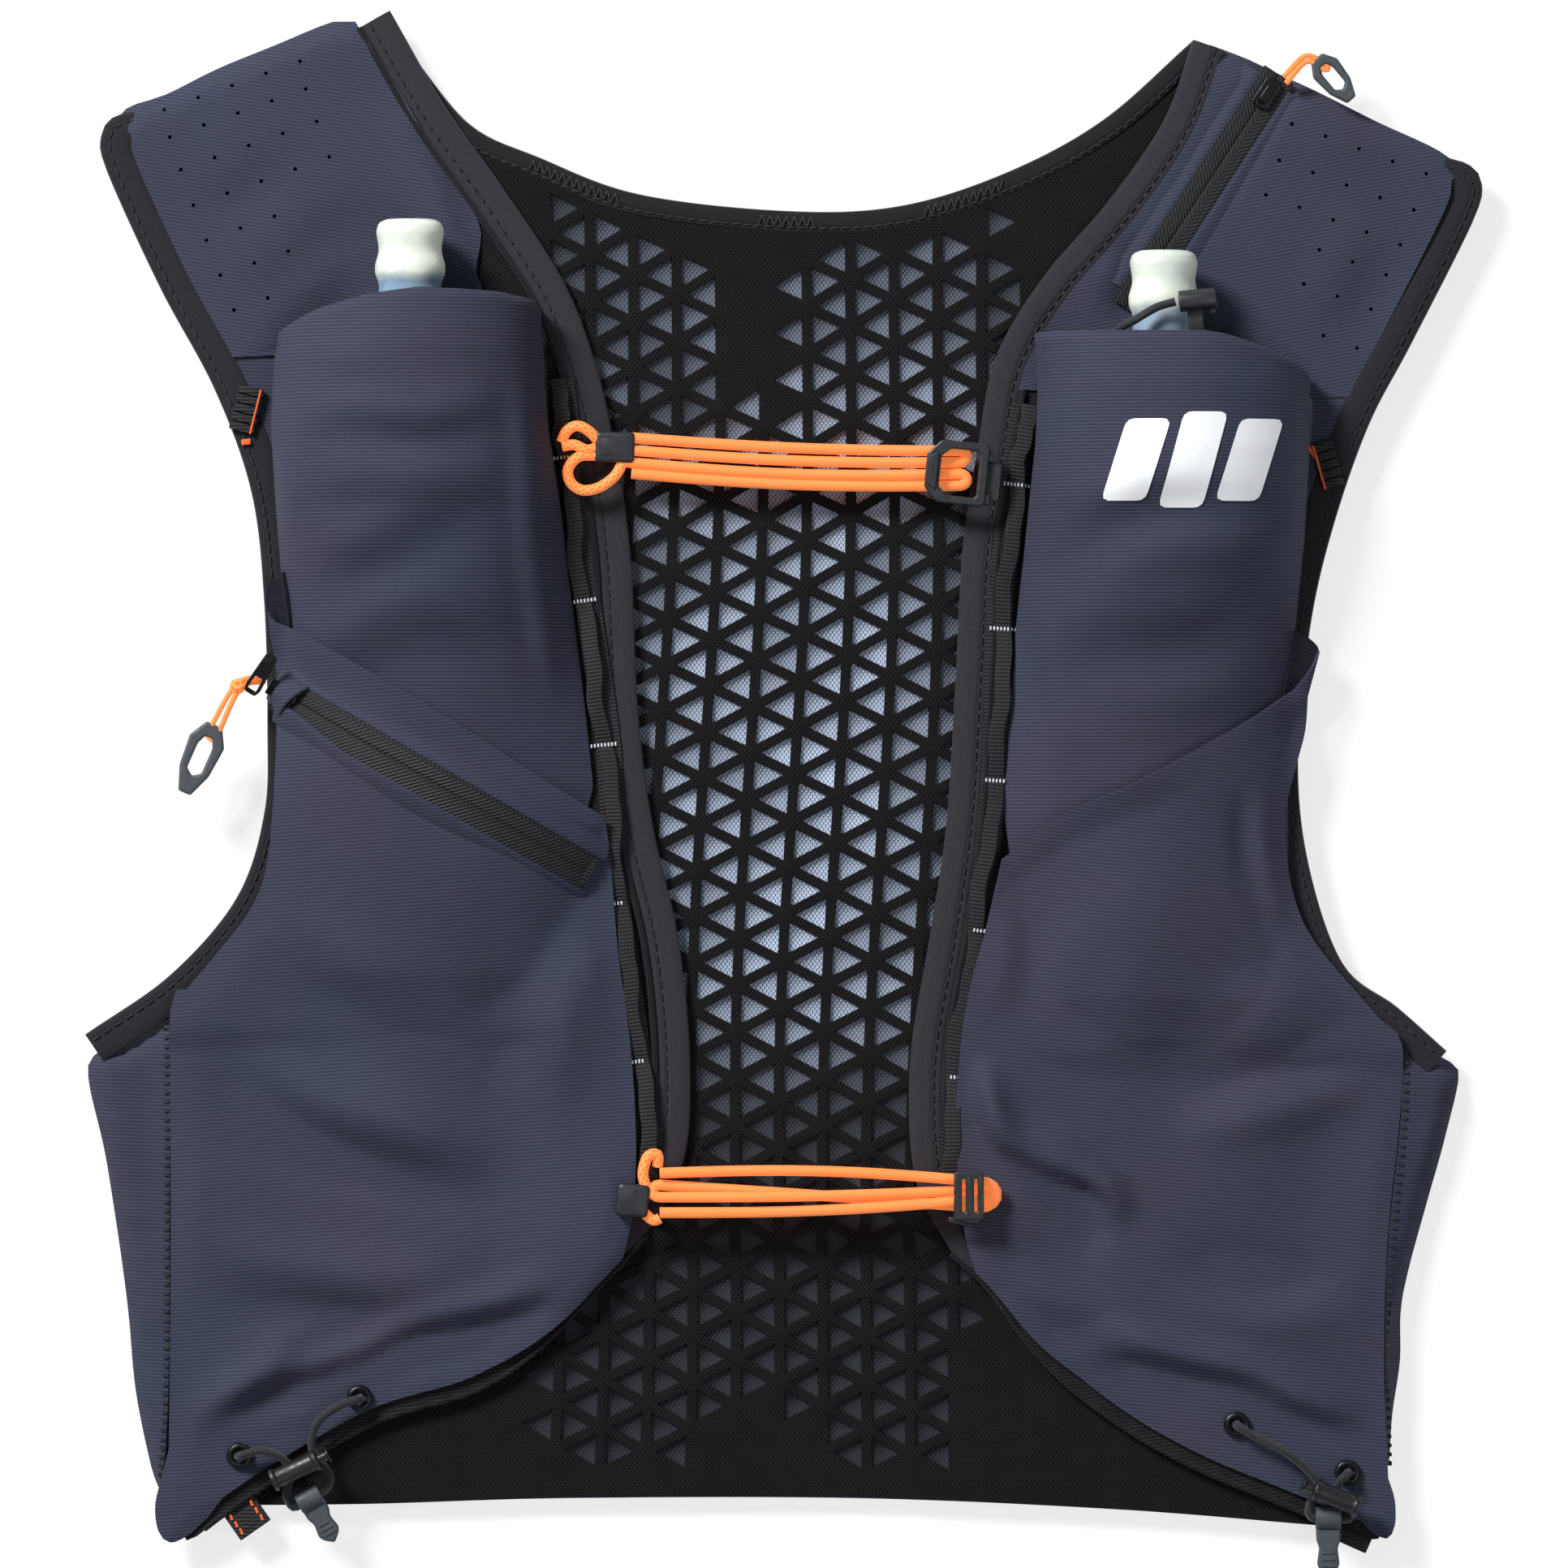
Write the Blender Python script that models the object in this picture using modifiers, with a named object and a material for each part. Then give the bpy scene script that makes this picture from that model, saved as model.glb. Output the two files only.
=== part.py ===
"""A hydration pack: a running vest with two soft flasks, lying on its back.

Sizes in this script are millimetres and Blender gets metres. +X runs to the right of someone who looks
down at the front of the vest, +Y runs to the shoulders, and +Z runs up from the table.
"""

import math

import bmesh
import bpy
from mathutils import Matrix, Vector
from mathutils.geometry import delaunay_2d_cdt

MM = 0.001
GAP = 0.3
STEP = 12.0

# Heights above the table: underside and top of each flat layer, then the level the pockets stand on.
BACK_SHELL = (0.0, 1.4)
SLEEVE = (1.7, 3.0)
BACK_MESH = (3.3, 6.3)
FRONT_BASE = (6.6, 8.8)
TRIM = (9.1, 10.6)
POCKET_BASE = 9.1
UPPER_STRAP_HEIGHT = 13.4
LOWER_STRAP_HEIGHT = 15.3
HOOK_LIFT = 3.3
CORD_LOCK_HEIGHT = 18.1

# Widths of the sewn edges and tapes.
BINDING_WIDTH = 9.0
NECK_BINDING_WIDTH = 6.0
RAIL_WIDTH = 7.0
ZIP_WIDTH = 8.0
FABRIC = 1.0
BASE_BEYOND_HEM = 4.0
SEAM_GAP = 0.8
RAIL_RISE = 2.2
RAIL_REACH = 18.0
LOOP_THICKNESS = 1.8
LOOP_BEVEL = 0.4

# Cord and bungee diameters.
BUNGEE = 3.0
HEM_CORD = 2.4
PULL_CORD = 2.2
TAB_THICKNESS = 2.4
PLATE_THICKNESS = 3.0
EYELET_RADIUS = 2.75
EYELET_THICKNESS = 1.5

# Edge lines of the vest, each from the shoulder down.
LEFT_FOLD = ((-110, 213), (-124, 210), (-140, 203.5), (-156, 197), (-170, 190), (-181, 186), (-187, 178))
LEFT_ARMHOLE = ((-187, 178), (-184, 164), (-171, 136), (-156, 108), (-146, 80), (-142.5, 50), (-141.6, 15),
                (-142.5, -8), (-150, -31), (-168, -52), (-191.5, -68.5))
LEFT_FRONT = ((-108, 212), (-93, 186), (-76, 162), (-60, 137), (-51, 113), (-46, 90), (-42, 62), (-40, 20),
              (-36, -11), (-29, -42), (-25.8, -75), (-27.5, -103), (-38, -123))
LEFT_HEM = ((-38, -123), (-49, -135), (-66, -152), (-85, -164), (-112, -172.5), (-138, -187), (-155, -198.5),
            (-167, -208))
RIGHT_FOLD = ((113.5, 205), (128, 199.5), (146, 191), (163, 182.5), (180, 174.5), (191, 166))
RIGHT_ARMHOLE = ((191, 166), (186, 145), (172, 121), (160, 98), (150, 69), (144, 42), (140.8, 8),
                 (143.5, -21), (153, -49), (168, -61), (181.5, -73))
RIGHT_FRONT = ((112, 204), (104, 182), (89, 160), (71, 139), (58, 117), (53, 92), (49, 66), (47, 30),
               (44.5, -10), (40, -41), (34.5, -76), (36, -108), (46, -128))
RIGHT_HEM = ((46, -128), (57, -138.5), (71, -156), (92, -173), (113, -185), (137, -195), (166, -207))
NECKLINE = ((-102, 200), (-86, 181), (-67, 172), (-40, 162), (0, 157.4), (31, 158.6), (60, 167.5), (87, 182),
            (112, 204))
LEFT_SIDE = ((-191, -77), (-186, -103), (-180.5, -140), (-178, -166), (-173.5, -188), (-171, -196))
RIGHT_SIDE = ((184.8, -81.5), (181.5, -99), (174, -124), (169.5, -146), (168.5, -172), (166, -195))
BACK_HEM = ((-166, -199), (-115, -198.6), (-60, -197), (20, -197), (90, -200), (141, -204), (164, -206))
SEAM_X = {"left": -169.0, "right": 167.0}
SHOULDER_SEAM_Y = {"left": 117.0, "right": 106.0}

# Flask pocket sections: y, left edge, right edge, rise above the panel.
FLASK_POCKETS = {
    "left": ((133, -134, -68, 29), (121, -138, -67, 31), (98, -140.5, -65.5, 31), (73, -139, -62.5, 27),
             (48, -137, -60.5, 20), (24, -137, -58.5, 14), (0, -137, -57, 10), (-28, -136, -62, 7.5),
             (-52, -128, -70, 5), (-66, -114, -86, 0.8)),
    "right": ((123, 71, 136, 29), (111, 71, 142.5, 31), (92, 70, 143.5, 31), (67, 67.5, 142.5, 27),
              (43, 65.5, 140, 20), (19, 64.5, 138, 14), (-6, 63.5, 138, 10), (-34, 67, 138, 7.5),
              (-58, 74, 130, 5), (-72, 88, 116, 0.8)),
}
FLASK_AXIS_X = {"left": -102.0, "right": 103.5}
FLASK_SHIFT_Y = {"left": 0.0, "right": -8.5}
FLASK_FLOOR = 10.5
# Flask body sections: y, half width, thickness.
FLASK_BODY = ((117.5, 9, 18), (110, 19, 22), (99, 27, 24), (80, 28.5, 23), (58, 26, 16), (36, 23.5, 10),
              (12, 21, 6), (-20, 19, 3.6), (-44, 15, 2), (-54, 10, 1))
NECK_HEIGHT = FLASK_FLOOR + 11.5

# The chest zip: its start, direction on the plan, length, and the arc that it follows over the flask.
ZIP_START = Vector((-139.0, 26.0))
ZIP_ALONG = Vector((0.865, -0.503)).normalized()
ZIP_LENGTH = 100.0
ZIP_RISE = 13.0
ZIP_END_LIFT = 2.5
ZIP_RADIUS = ((ZIP_LENGTH / 2) ** 2 + ZIP_RISE ** 2) / (2 * ZIP_RISE)
ZIP_TAPE_LIFT = 3.0
ZIP_REST = 6.0
TAPE = 0.9

# The shoulder zip runs straight down the right strap.
SHOULDER_ZIP_TOP = Vector((135.0, 193.5))
SHOULDER_ZIP_ALONG = Vector((-0.5463, -0.8375)).normalized()
SHOULDER_ZIP_LENGTH = 55.0

COLOURS = {
    "shell": ((0.045, 0.052, 0.075, 1), 0.8, 0.0),
    "mesh": ((0.012, 0.012, 0.014, 1), 0.9, 0.0),
    "liner": ((0.32, 0.38, 0.48, 1), 0.7, 0.0),
    "binding": ((0.035, 0.035, 0.042, 1), 0.9, 0.0),
    "webbing": ((0.015, 0.015, 0.017, 1), 0.85, 0.0),
    "hardware": ((0.03, 0.035, 0.042, 1), 0.4, 0.0),
    "metal": ((0.05, 0.055, 0.06, 1), 0.35, 0.9),
    "spring": ((0.55, 0.55, 0.56, 1), 0.3, 1.0),
    "bungee": ((1.0, 0.19, 0.03, 1), 0.6, 0.0),
    "cord": ((0.03, 0.033, 0.037, 1), 0.7, 0.0),
    "flask": ((0.45, 0.62, 0.78, 1), 0.3, 0.0),
    "cap": ((0.25, 0.4, 0.55, 1), 0.35, 0.0),
    "valve": ((0.85, 0.87, 0.78, 1), 0.35, 0.0),
}


# Scene, materials and shape helpers.


def start_scene():
    for obj in list(bpy.data.objects):
        bpy.data.objects.remove(obj)
    pack = bpy.data.collections.new("hydration_pack")
    bpy.context.scene.collection.children.link(pack)
    return pack


def make_material(name):
    colour, roughness, metallic = COLOURS[name]
    material = bpy.data.materials.new(name)
    material.use_nodes = True
    shader = material.node_tree.nodes["Principled BSDF"]
    shader.inputs["Base Color"].default_value = colour
    shader.inputs["Roughness"].default_value = roughness
    shader.inputs["Metallic"].default_value = metallic
    return material


PACK = start_scene()


def add_object(name, data, colour):
    """Each piece has a material of its own, named for the piece."""
    obj = bpy.data.objects.new(name, data)
    material = make_material(colour)
    material.name = name
    data.materials.append(material)
    PACK.objects.link(obj)
    return obj


def mesh_from(name, points, faces, colour):
    data = bpy.data.meshes.new(name)
    data.from_pydata([Vector(point) * MM for point in points], [], faces)
    data.validate()
    shape = bmesh.new()
    shape.from_mesh(data)
    bmesh.ops.recalc_face_normals(shape, faces=shape.faces)
    shape.to_mesh(data)
    shape.free()
    return add_object(name, data, colour)


def smooth(points, step=STEP):
    """A curve through the points, with a point about every step along it."""
    points = [Vector(point) for point in points]
    guide = [2 * points[0] - points[1], *points, 2 * points[-1] - points[-2]]
    path = []
    for before, start, end, after in zip(guide, guide[1:], guide[2:], guide[3:]):
        count = max(1, round((end - start).length / step))
        for index in range(count):
            t = index / count
            square = (2 * before - 5 * start + 4 * end - after) * t ** 2
            cube = (3 * start - before - 3 * end + after) * t ** 3
            path.append(0.5 * (2 * start + (end - before) * t + square + cube))
    path.append(points[-1])
    return path


def offset(path, distance):
    """The path moved sideways, to its left where distance is positive."""
    moved = []
    for index, point in enumerate(path):
        ahead = path[min(index + 1, len(path) - 1)]
        behind = path[max(index - 1, 0)]
        along = (ahead - behind).normalized()
        moved.append(point + distance * Vector((-along.y, along.x)))
    return moved


def above(path, y):
    return [point for point in path if point.y > y]


def below(path, y):
    return [point for point in path if point.y < y]


def flat_piece(name, outline, layer, colour):
    """A flat outline filled and extruded between the layer's two heights."""
    data = bpy.data.curves.new(name, "CURVE")
    data.dimensions = "2D"
    data.fill_mode = "BOTH"
    data.extrude = (layer[1] - layer[0]) / 2 * MM
    loops = outline if isinstance(outline[0], list) else [outline]
    for loop in loops:
        spline = data.splines.new("POLY")
        spline.points.add(len(loop) - 1)
        for point, place in zip(spline.points, loop):
            point.co = (place[0] * MM, place[1] * MM, 0, 1)
        spline.use_cyclic_u = True
    obj = add_object(name, data, colour)
    obj.location.z = (layer[0] + layer[1]) / 2 * MM
    return obj


def strip(name, path, width, layer, colour):
    """A flat tape to the left of the path, or to its right where width is negative."""
    return flat_piece(name, list(path) + offset(path, width)[::-1], layer, colour)


def inside(point, outline):
    hit = False
    for a, b in zip(outline, outline[1:] + outline[:1]):
        if (a.y > point.y) != (b.y > point.y) and point.x < a.x + (point.y - a.y) * (b.x - a.x) / (b.y - a.y):
            hit = not hit
    return hit


def draped_sheet(name, outline, height, spacing, colour):
    """A fabric sheet of the outline's shape, with its underside at height(x, y)."""
    points = list(outline)
    low_x, high_x = min(p.x for p in outline), max(p.x for p in outline)
    low_y, high_y = min(p.y for p in outline), max(p.y for p in outline)
    for row in range(int((high_y - low_y) / spacing) + 1):
        for column in range(int((high_x - low_x) / spacing) + 1):
            place = Vector((low_x + (column + 0.5 * (row % 2)) * spacing, low_y + (row + 0.5) * spacing))
            if inside(place, outline) and min((place - p).length for p in outline) > 0.6 * spacing:
                points.append(place)
    rim = [(index, (index + 1) % len(outline)) for index in range(len(outline))]
    places, _, faces, *_ = delaunay_2d_cdt(points, rim, [], 1, 1e-5)
    obj = mesh_from(name, [(p.x, p.y, height(p.x, p.y)) for p in places], faces, colour)
    if obj.data.polygons[0].normal.z < 0:
        obj.data.flip_normals()
    thicken(obj, FABRIC)
    return obj


def thicken(obj, thickness):
    solid = obj.modifiers.new("Thickness", "SOLIDIFY")
    solid.thickness = thickness * MM
    solid.offset = 1.0


def soften(obj, width):
    bevel = obj.modifiers.new("Rounded edges", "BEVEL")
    bevel.width = width * MM
    bevel.segments = 1
    bevel.limit_method = "ANGLE"


def loft(name, rings, colour):
    """A closed body through rings of points, with a flat cap at each end."""
    count = len(rings[0])
    points = [point for ring in rings for point in ring]
    faces = [tuple(range(count)), tuple(range(len(points) - count, len(points)))]
    for ring in range(len(rings) - 1):
        for index in range(count):
            a = ring * count + index
            b = ring * count + (index + 1) % count
            faces.append((a, b, b + count, a + count))
    return mesh_from(name, points, faces, colour)


def turned(name, profile, place, axis, colour, steps=16):
    """A turned body. The profile runs (radius, height) from the top of the axis down the outer side."""
    data = bpy.data.meshes.new(name)
    points = [(radius * MM, 0, height * MM) for radius, height in profile]
    data.from_pydata(points, [(i, i + 1) for i in range(len(profile) - 1)], [])
    obj = add_object(name, data, colour)
    screw = obj.modifiers.new("Turn", "SCREW")
    screw.steps = screw.render_steps = steps
    screw.use_merge_vertices = True
    screw.merge_threshold = 0.00001
    turn = Vector(axis).to_track_quat("Z", "Y").to_matrix().to_4x4()
    obj.matrix_world = Matrix.Translation(Vector(place) * MM) @ turn
    return obj


def tube(name, points, diameter, colour, resolution=2):
    """A cord through the points, which are already dense enough."""
    data = bpy.data.curves.new(name, "CURVE")
    data.dimensions = "3D"
    data.bevel_depth = diameter / 2 * MM
    data.bevel_resolution = resolution
    data.use_fill_caps = True
    spline = data.splines.new("POLY")
    spline.points.add(len(points) - 1)
    for point, place in zip(spline.points, points):
        point.co = (*(Vector(place) * MM), 1)
    return add_object(name, data, colour)


def keep(obj, name, colour):
    """Name a new primitive, give it its material and move it into the pack's collection."""
    obj.name = name
    obj.data.materials.append(make_material(colour))
    for collection in list(obj.users_collection):
        collection.objects.unlink(obj)
    PACK.objects.link(obj)
    return obj


def ring(name, place, radius, thickness, colour):
    bpy.ops.mesh.primitive_torus_add(major_radius=radius * MM, minor_radius=thickness / 2 * MM,
                                     major_segments=16, minor_segments=6, location=Vector(place) * MM)
    return keep(bpy.context.object, name, colour)


def box(name, centre, size, angle, colour, bevel=0.0):
    """A block with its length along the angle, in degrees from +X on the plan."""
    bpy.ops.mesh.primitive_cube_add(size=1)
    obj = keep(bpy.context.object, name, colour)
    obj.data.transform(Matrix.Diagonal((*(Vector(size) * MM), 1)))
    obj.matrix_world = Matrix.Translation(Vector(centre) * MM) @ Matrix.Rotation(math.radians(angle), 4, "Z")
    if bevel:
        soften(obj, bevel)
    return obj


def plate(name, outline, thickness, place, angle, colour):
    """A flat outline, with any holes, drawn round its own origin and set at a place and angle on the plan."""
    obj = flat_piece(name, outline, (-thickness / 2, thickness / 2), colour)
    obj.matrix_world = Matrix.Translation(Vector(place) * MM) @ Matrix.Rotation(math.radians(angle), 4, "Z")
    return obj


def arc_points(centre, radius, start, end, count):
    """Points round an arc, with the angles in degrees."""
    angles = [math.radians(start + (end - start) * index / count) for index in range(count + 1)]
    return [(centre[0] + radius * math.cos(a), centre[1] + radius * math.sin(a)) for a in angles]


# Heights of the pocket fabric.


def pocket_section(side, y):
    """Left edge, right edge, rise and roundness of the flask pocket at y."""
    stations = FLASK_POCKETS[side]
    y = min(max(y, stations[-1][0]), stations[0][0])
    for upper, lower in zip(stations, stations[1:]):
        if y >= lower[0]:
            t = (y - lower[0]) / (upper[0] - lower[0])
            left, right, rise = (lower[i] + t * (upper[i] - lower[i]) for i in (1, 2, 3))
            roundness = 0.42 + 0.58 * min(max((80 - y) / 60, 0), 1)
            return left, right, rise, roundness
    return None


def pocket_rise(side, x, y):
    if y < FLASK_POCKETS[side][-1][0]:
        return 0.0
    left, right, rise, roundness = pocket_section(side, y)
    across = (2 * x - left - right) / (right - left)
    return rise * (1 - across ** 2) ** roundness if abs(across) < 1 else 0.0


def zip_rise(x, y):
    """Rise of the chest fabric beside the curved zip, fading away from it."""
    place = Vector((x, y)) - ZIP_START
    along = place.dot(ZIP_ALONG) - ZIP_LENGTH / 2
    across = ZIP_ALONG.x * place.y - ZIP_ALONG.y * place.x
    reach = max(0.0, ZIP_RADIUS ** 2 - along ** 2) ** 0.5
    rise = max(0.0, reach - ZIP_RADIUS + ZIP_RISE + ZIP_END_LIFT)
    return rise * math.exp(-(across / (26 if across > 0 else 48)) ** 2)


def blended(rises, sharpness=6):
    return sum(rise ** sharpness for rise in rises) ** (1 / sharpness)


def chest_height_left(x, y):
    over_rail = RAIL_RISE * min(max((x + 80) / RAIL_REACH, 0), 1)
    over_flask = pocket_rise("left", x, y) + RAIL_RISE * (y > -70)
    return POCKET_BASE + blended((over_rail, over_flask, zip_rise(x, y)))


def chest_height_right(x, y):
    over_rail = RAIL_RISE * min(max((82 - x) / RAIL_REACH, 0), 1)
    return POCKET_BASE + blended((over_rail, pocket_rise("right", x, y) + RAIL_RISE * (y > -76)))


# Back of the vest.


def back_outline(inset):
    """The back panel inside its neck binding, with its edge hidden under the front of the vest."""
    neck = offset(smooth(NECKLINE), -NECK_BINDING_WIDTH - GAP)
    right = smooth(((127, 190), (150, 180), (172, 168), (181, 158), (176, 140), (160, 113), (148, 84),
                    (139, 50), (135.5, 10), (138, -22), (147, -48), (162, -63), (164, -80), (164, -190)), 20)
    left = smooth(((-166, -190), (-166, -80), (-162, -56), (-145, -34), (-137.5, -10), (-136.5, 15),
                   (-138, 55), (-142, 82), (-152, 110), (-167, 138), (-178, 163), (-172, 178), (-152, 189),
                   (-122, 200)), 20)
    hem = smooth(BACK_HEM, 30)
    outline = neck + right + [point + Vector((0, 1)) for point in hem[::-1]] + left
    return [point - point.normalized() * inset for point in outline]


def make_back():
    flat_piece("back_outer_panel", back_outline(0), BACK_SHELL, "shell")
    sleeve = smooth(((-84, 166), (-40, 151), (0, 147), (45, 152), (84, 168), (92, 120), (92, -60), (88, -150),
                     (60, -172), (0, -176), (-60, -172), (-90, -150), (-94, -60), (-94, 120), (-84, 166)), 25)
    flat_piece("reservoir_sleeve", sleeve[:-1], SLEEVE, "liner")
    flat_piece("back_mesh_panel", back_outline(0.6), BACK_MESH, "mesh")
    strip("neck_binding", smooth(NECKLINE), -NECK_BINDING_WIDTH, (BACK_SHELL[0], BACK_MESH[1]), "binding")


# Front of the vest.


def make_strap_and_panel(side, fold, armhole, front, hem):
    """The upper strap and the lower panel, inside their bindings, joined at the shoulder seam."""
    sign = 1 if side == "left" else -1
    inset = BINDING_WIDTH + GAP
    seam = SHOULDER_SEAM_Y[side]
    outer = offset(smooth(armhole), sign * inset)
    inner = offset(smooth(front), -sign * inset)
    top = offset(smooth(fold), sign * 1.0)
    strap_foot = [crossing(outer, seam + SEAM_GAP), crossing(inner, seam + SEAM_GAP)]
    strap = top[1:-1] + above(outer, seam + 3) + strap_foot + above(inner, seam + 3)[::-1]
    flat_piece(f"shoulder_strap_{side}", strap, FRONT_BASE, "shell")
    side_x = SEAM_X[side] + sign * GAP
    rim = offset(smooth(hem), -sign * BASE_BEYOND_HEM)[2:]
    lower = [crossing(outer, seam - SEAM_GAP)]
    lower += [point for point in below(outer, seam - 3) if abs(point.x) < abs(side_x)]
    lower += [Vector((side_x, outer[-1].y - 2)), Vector((side_x, -196))]
    lower += [point for point in rim[::-1] if abs(point.x) < abs(side_x) - 1]
    lower += below(inner, seam - 3)[::-1] + [crossing(inner, seam - SEAM_GAP)]
    flat_piece(f"front_panel_{side}", lower, FRONT_BASE, "mesh")


def crossing(path, y):
    """Where the path crosses the height y on the plan."""
    for a, b in zip(path, path[1:]):
        if (a.y - y) * (b.y - y) <= 0 and a.y != b.y:
            return a + (b - a) * (y - a.y) / (b.y - a.y)
    return path[-1]


def make_bindings(side, armhole, front):
    sign = 1 if side == "left" else -1
    strip(f"armhole_binding_{side}", smooth(armhole), sign * BINDING_WIDTH, FRONT_BASE, "binding")
    strip(f"front_edge_binding_{side}", smooth(front), -sign * BINDING_WIDTH, FRONT_BASE, "binding")


def make_side_panels():
    """The strips of fabric that fold round the ribs, from the back panel to the side seams."""
    left = smooth(LEFT_SIDE) + [Vector((SEAM_X["left"], -196)), Vector((SEAM_X["left"], -77))]
    right = smooth(RIGHT_SIDE)[:-1] + [Vector((SEAM_X["right"], -186)), Vector((SEAM_X["right"], -81.5))]
    for side, outline in (("left", left), ("right", right)):
        flat_piece(f"side_panel_{side}", outline, (BACK_SHELL[0], FRONT_BASE[1]), "shell")


def make_flask_pocket(side):
    """A stretch sleeve: an arched shell, open at the top, that narrows to its sewn foot."""
    segments = 12
    rings = []
    for y, left, right, rise in FLASK_POCKETS[side]:
        roundness = pocket_section(side, y)[3]
        section = []
        for index in range(segments + 1):
            angle = math.pi * index / segments
            x = (left + right) / 2 - math.cos(angle) * (right - left) / 2
            section.append((x, y, POCKET_BASE + rise * math.sin(angle) ** (2 * roundness)))
        rings.append(section)
    count = segments + 1
    faces = [(r * count + i, r * count + i + 1, (r + 1) * count + i + 1, (r + 1) * count + i)
             for r in range(len(rings) - 1) for i in range(segments)]
    obj = mesh_from(f"flask_pocket_{side}", [p for section in rings for p in section], faces, "shell")
    middle = obj.data.polygons[segments // 2]
    if middle.normal.z < 0:
        obj.data.flip_normals()
    thicken(obj, FABRIC)


def make_lower_pockets():
    left = smooth(((-138.5, 52), (-132, 42), (-118, 33), (-99, 22.5), (-80, 10.5), (-62, -1), (-50, -9)), 9)
    left += smooth(((-47.5, -20), (-45.5, -45), (-42, -72), (-40.5, -100), (-43.5, -126)))
    left += [p for p in smooth(LEFT_HEM) if p.x < -48][:-1] + [Vector((-166, -206))]
    left += smooth(((-167.5, -196), (-167.5, -120), (-167, -68), (-152, -45), (-141, -22), (-138.5, 10),
                    (-139, 40)))
    draped_sheet("lower_pocket_left", left, chest_height_left, 12, "shell")
    right = smooth(((143, 38), (135, 22), (118, 12), (96, 0.5), (76, -8.5), (60, -20)), 9)
    right += smooth(((55.5, -38), (50, -62), (48, -90), (50, -118), (56, -136)))
    right += [p for p in smooth(RIGHT_HEM) if p.x > 60][:-1] + [Vector((164.5, -205.5))]
    right += smooth(((165.5, -190), (165.5, -120), (163.5, -68), (150, -52), (141.5, -28), (138, 0),
                     (140.5, 25)))
    draped_sheet("lower_pocket_right", right, chest_height_right, 12, "shell")


def make_webbing():
    rails = {
        "left": ((-61, 111), (-58.4, 89.7), (-53.8, 50.3), (-48.2, 10.8), (-45.6, -32.6), (-39.8, -75.9),
                 (-36, -115)),
        "right": ((65.5, 104), (62.4, 82.1), (58.6, 42.6), (57.4, 1.0), (53.1, -40.1), (46.8, -80.3),
                  (47, -117)),
    }
    for side, path in rails.items():
        path = smooth(path)
        strip(f"daisy_webbing_{side}", offset(path, -RAIL_WIDTH / 2), RAIL_WIDTH, TRIM, "webbing")
    # Place, width, height and angle of each folded loop.
    on_panel, beside_hem = TRIM[0] + LOOP_THICKNESS / 2, 7.6
    loops = {
        "side_adjuster_left": ((-147.2, 102.6, on_panel), 7, 13, -14),
        "side_adjuster_right": ((148.9, 87.4, on_panel), 6, 13, 16),
        "pole_loop_left": ((-143.5, -203.2, beside_hem), 10, 9, 35),
        "pole_loop_right": ((158.8, -210.4, beside_hem), 10, 7, -24),
    }
    for name, (place, width, height, angle) in loops.items():
        box(name, place, (width, height, LOOP_THICKNESS), angle, "webbing", LOOP_BEVEL)


# Zips. The chest slider turns about the centre of the arc that its tape follows.


def zip_place(along, lift=0.0, across=0.0):
    """A point on the chest zip: distance along it, height over the tape's underside, distance uphill."""
    angle = math.asin((along - ZIP_LENGTH / 2) / ZIP_RADIUS)
    radius = ZIP_RADIUS + lift
    middle = ZIP_START + ZIP_ALONG * (ZIP_LENGTH / 2)
    plan = middle + ZIP_ALONG * radius * math.sin(angle) + Vector((-ZIP_ALONG.y, ZIP_ALONG.x)) * across
    return Vector((plan.x, plan.y, zip_centre().z + radius * math.cos(angle)))


def zip_centre():
    """The centre of the arc, on the chest slider's joint axis."""
    middle = ZIP_START + ZIP_ALONG * (ZIP_LENGTH / 2)
    top = POCKET_BASE + ZIP_RISE + ZIP_END_LIFT + ZIP_TAPE_LIFT
    return Vector((middle.x, middle.y, top - ZIP_RADIUS))


def slider_outline():
    """Side view of a zip slider: a flat body with an arched bridge over a slot for the pull."""
    body = [(-5, 0), (5, 0), (5.4, 0.9), (4.6, 1.8), (3.6, 1.9)]
    bridge = [(3.2, 3.4), (2.2, 4.1), (-2.2, 4.1), (-3.2, 3.4), (-3.6, 1.9), (-4.6, 1.8), (-5.4, 0.9)]
    slot = [(-2.4, 2.0), (-2.0, 3.1), (2.0, 3.1), (2.4, 2.0)]
    return [body + bridge, slot]


def make_slider(name, place, along, up):
    """The outline is drawn in the plane of travel and height, and extruded across the tape."""
    obj = flat_piece(name, slider_outline(), (-2.6, 2.6), "metal")
    across = up.cross(along)
    turn = Matrix((along, up, -across)).transposed().to_4x4()
    obj.matrix_world = Matrix.Translation(place * MM) @ turn
    return obj


def tab_outline(length, width):
    """A faceted ring: a long octagon with a long slot."""
    x, y = length / 2, width / 2
    outer = [(-x, -y * 0.45), (-x, y * 0.45), (-x * 0.5, y), (x * 0.35, y * 0.85), (x, y * 0.35),
             (x, -y * 0.35), (x * 0.35, -y * 0.85), (-x * 0.5, -y)]
    a, b = x * 0.62, y * 0.42
    slot = [(-a, -b * 0.5), (-a * 0.6, -b), (a * 0.55, -b), (a * 0.8, 0), (a * 0.55, b), (-a * 0.6, b),
            (-a, b * 0.5)]
    return [outer, slot]


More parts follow.
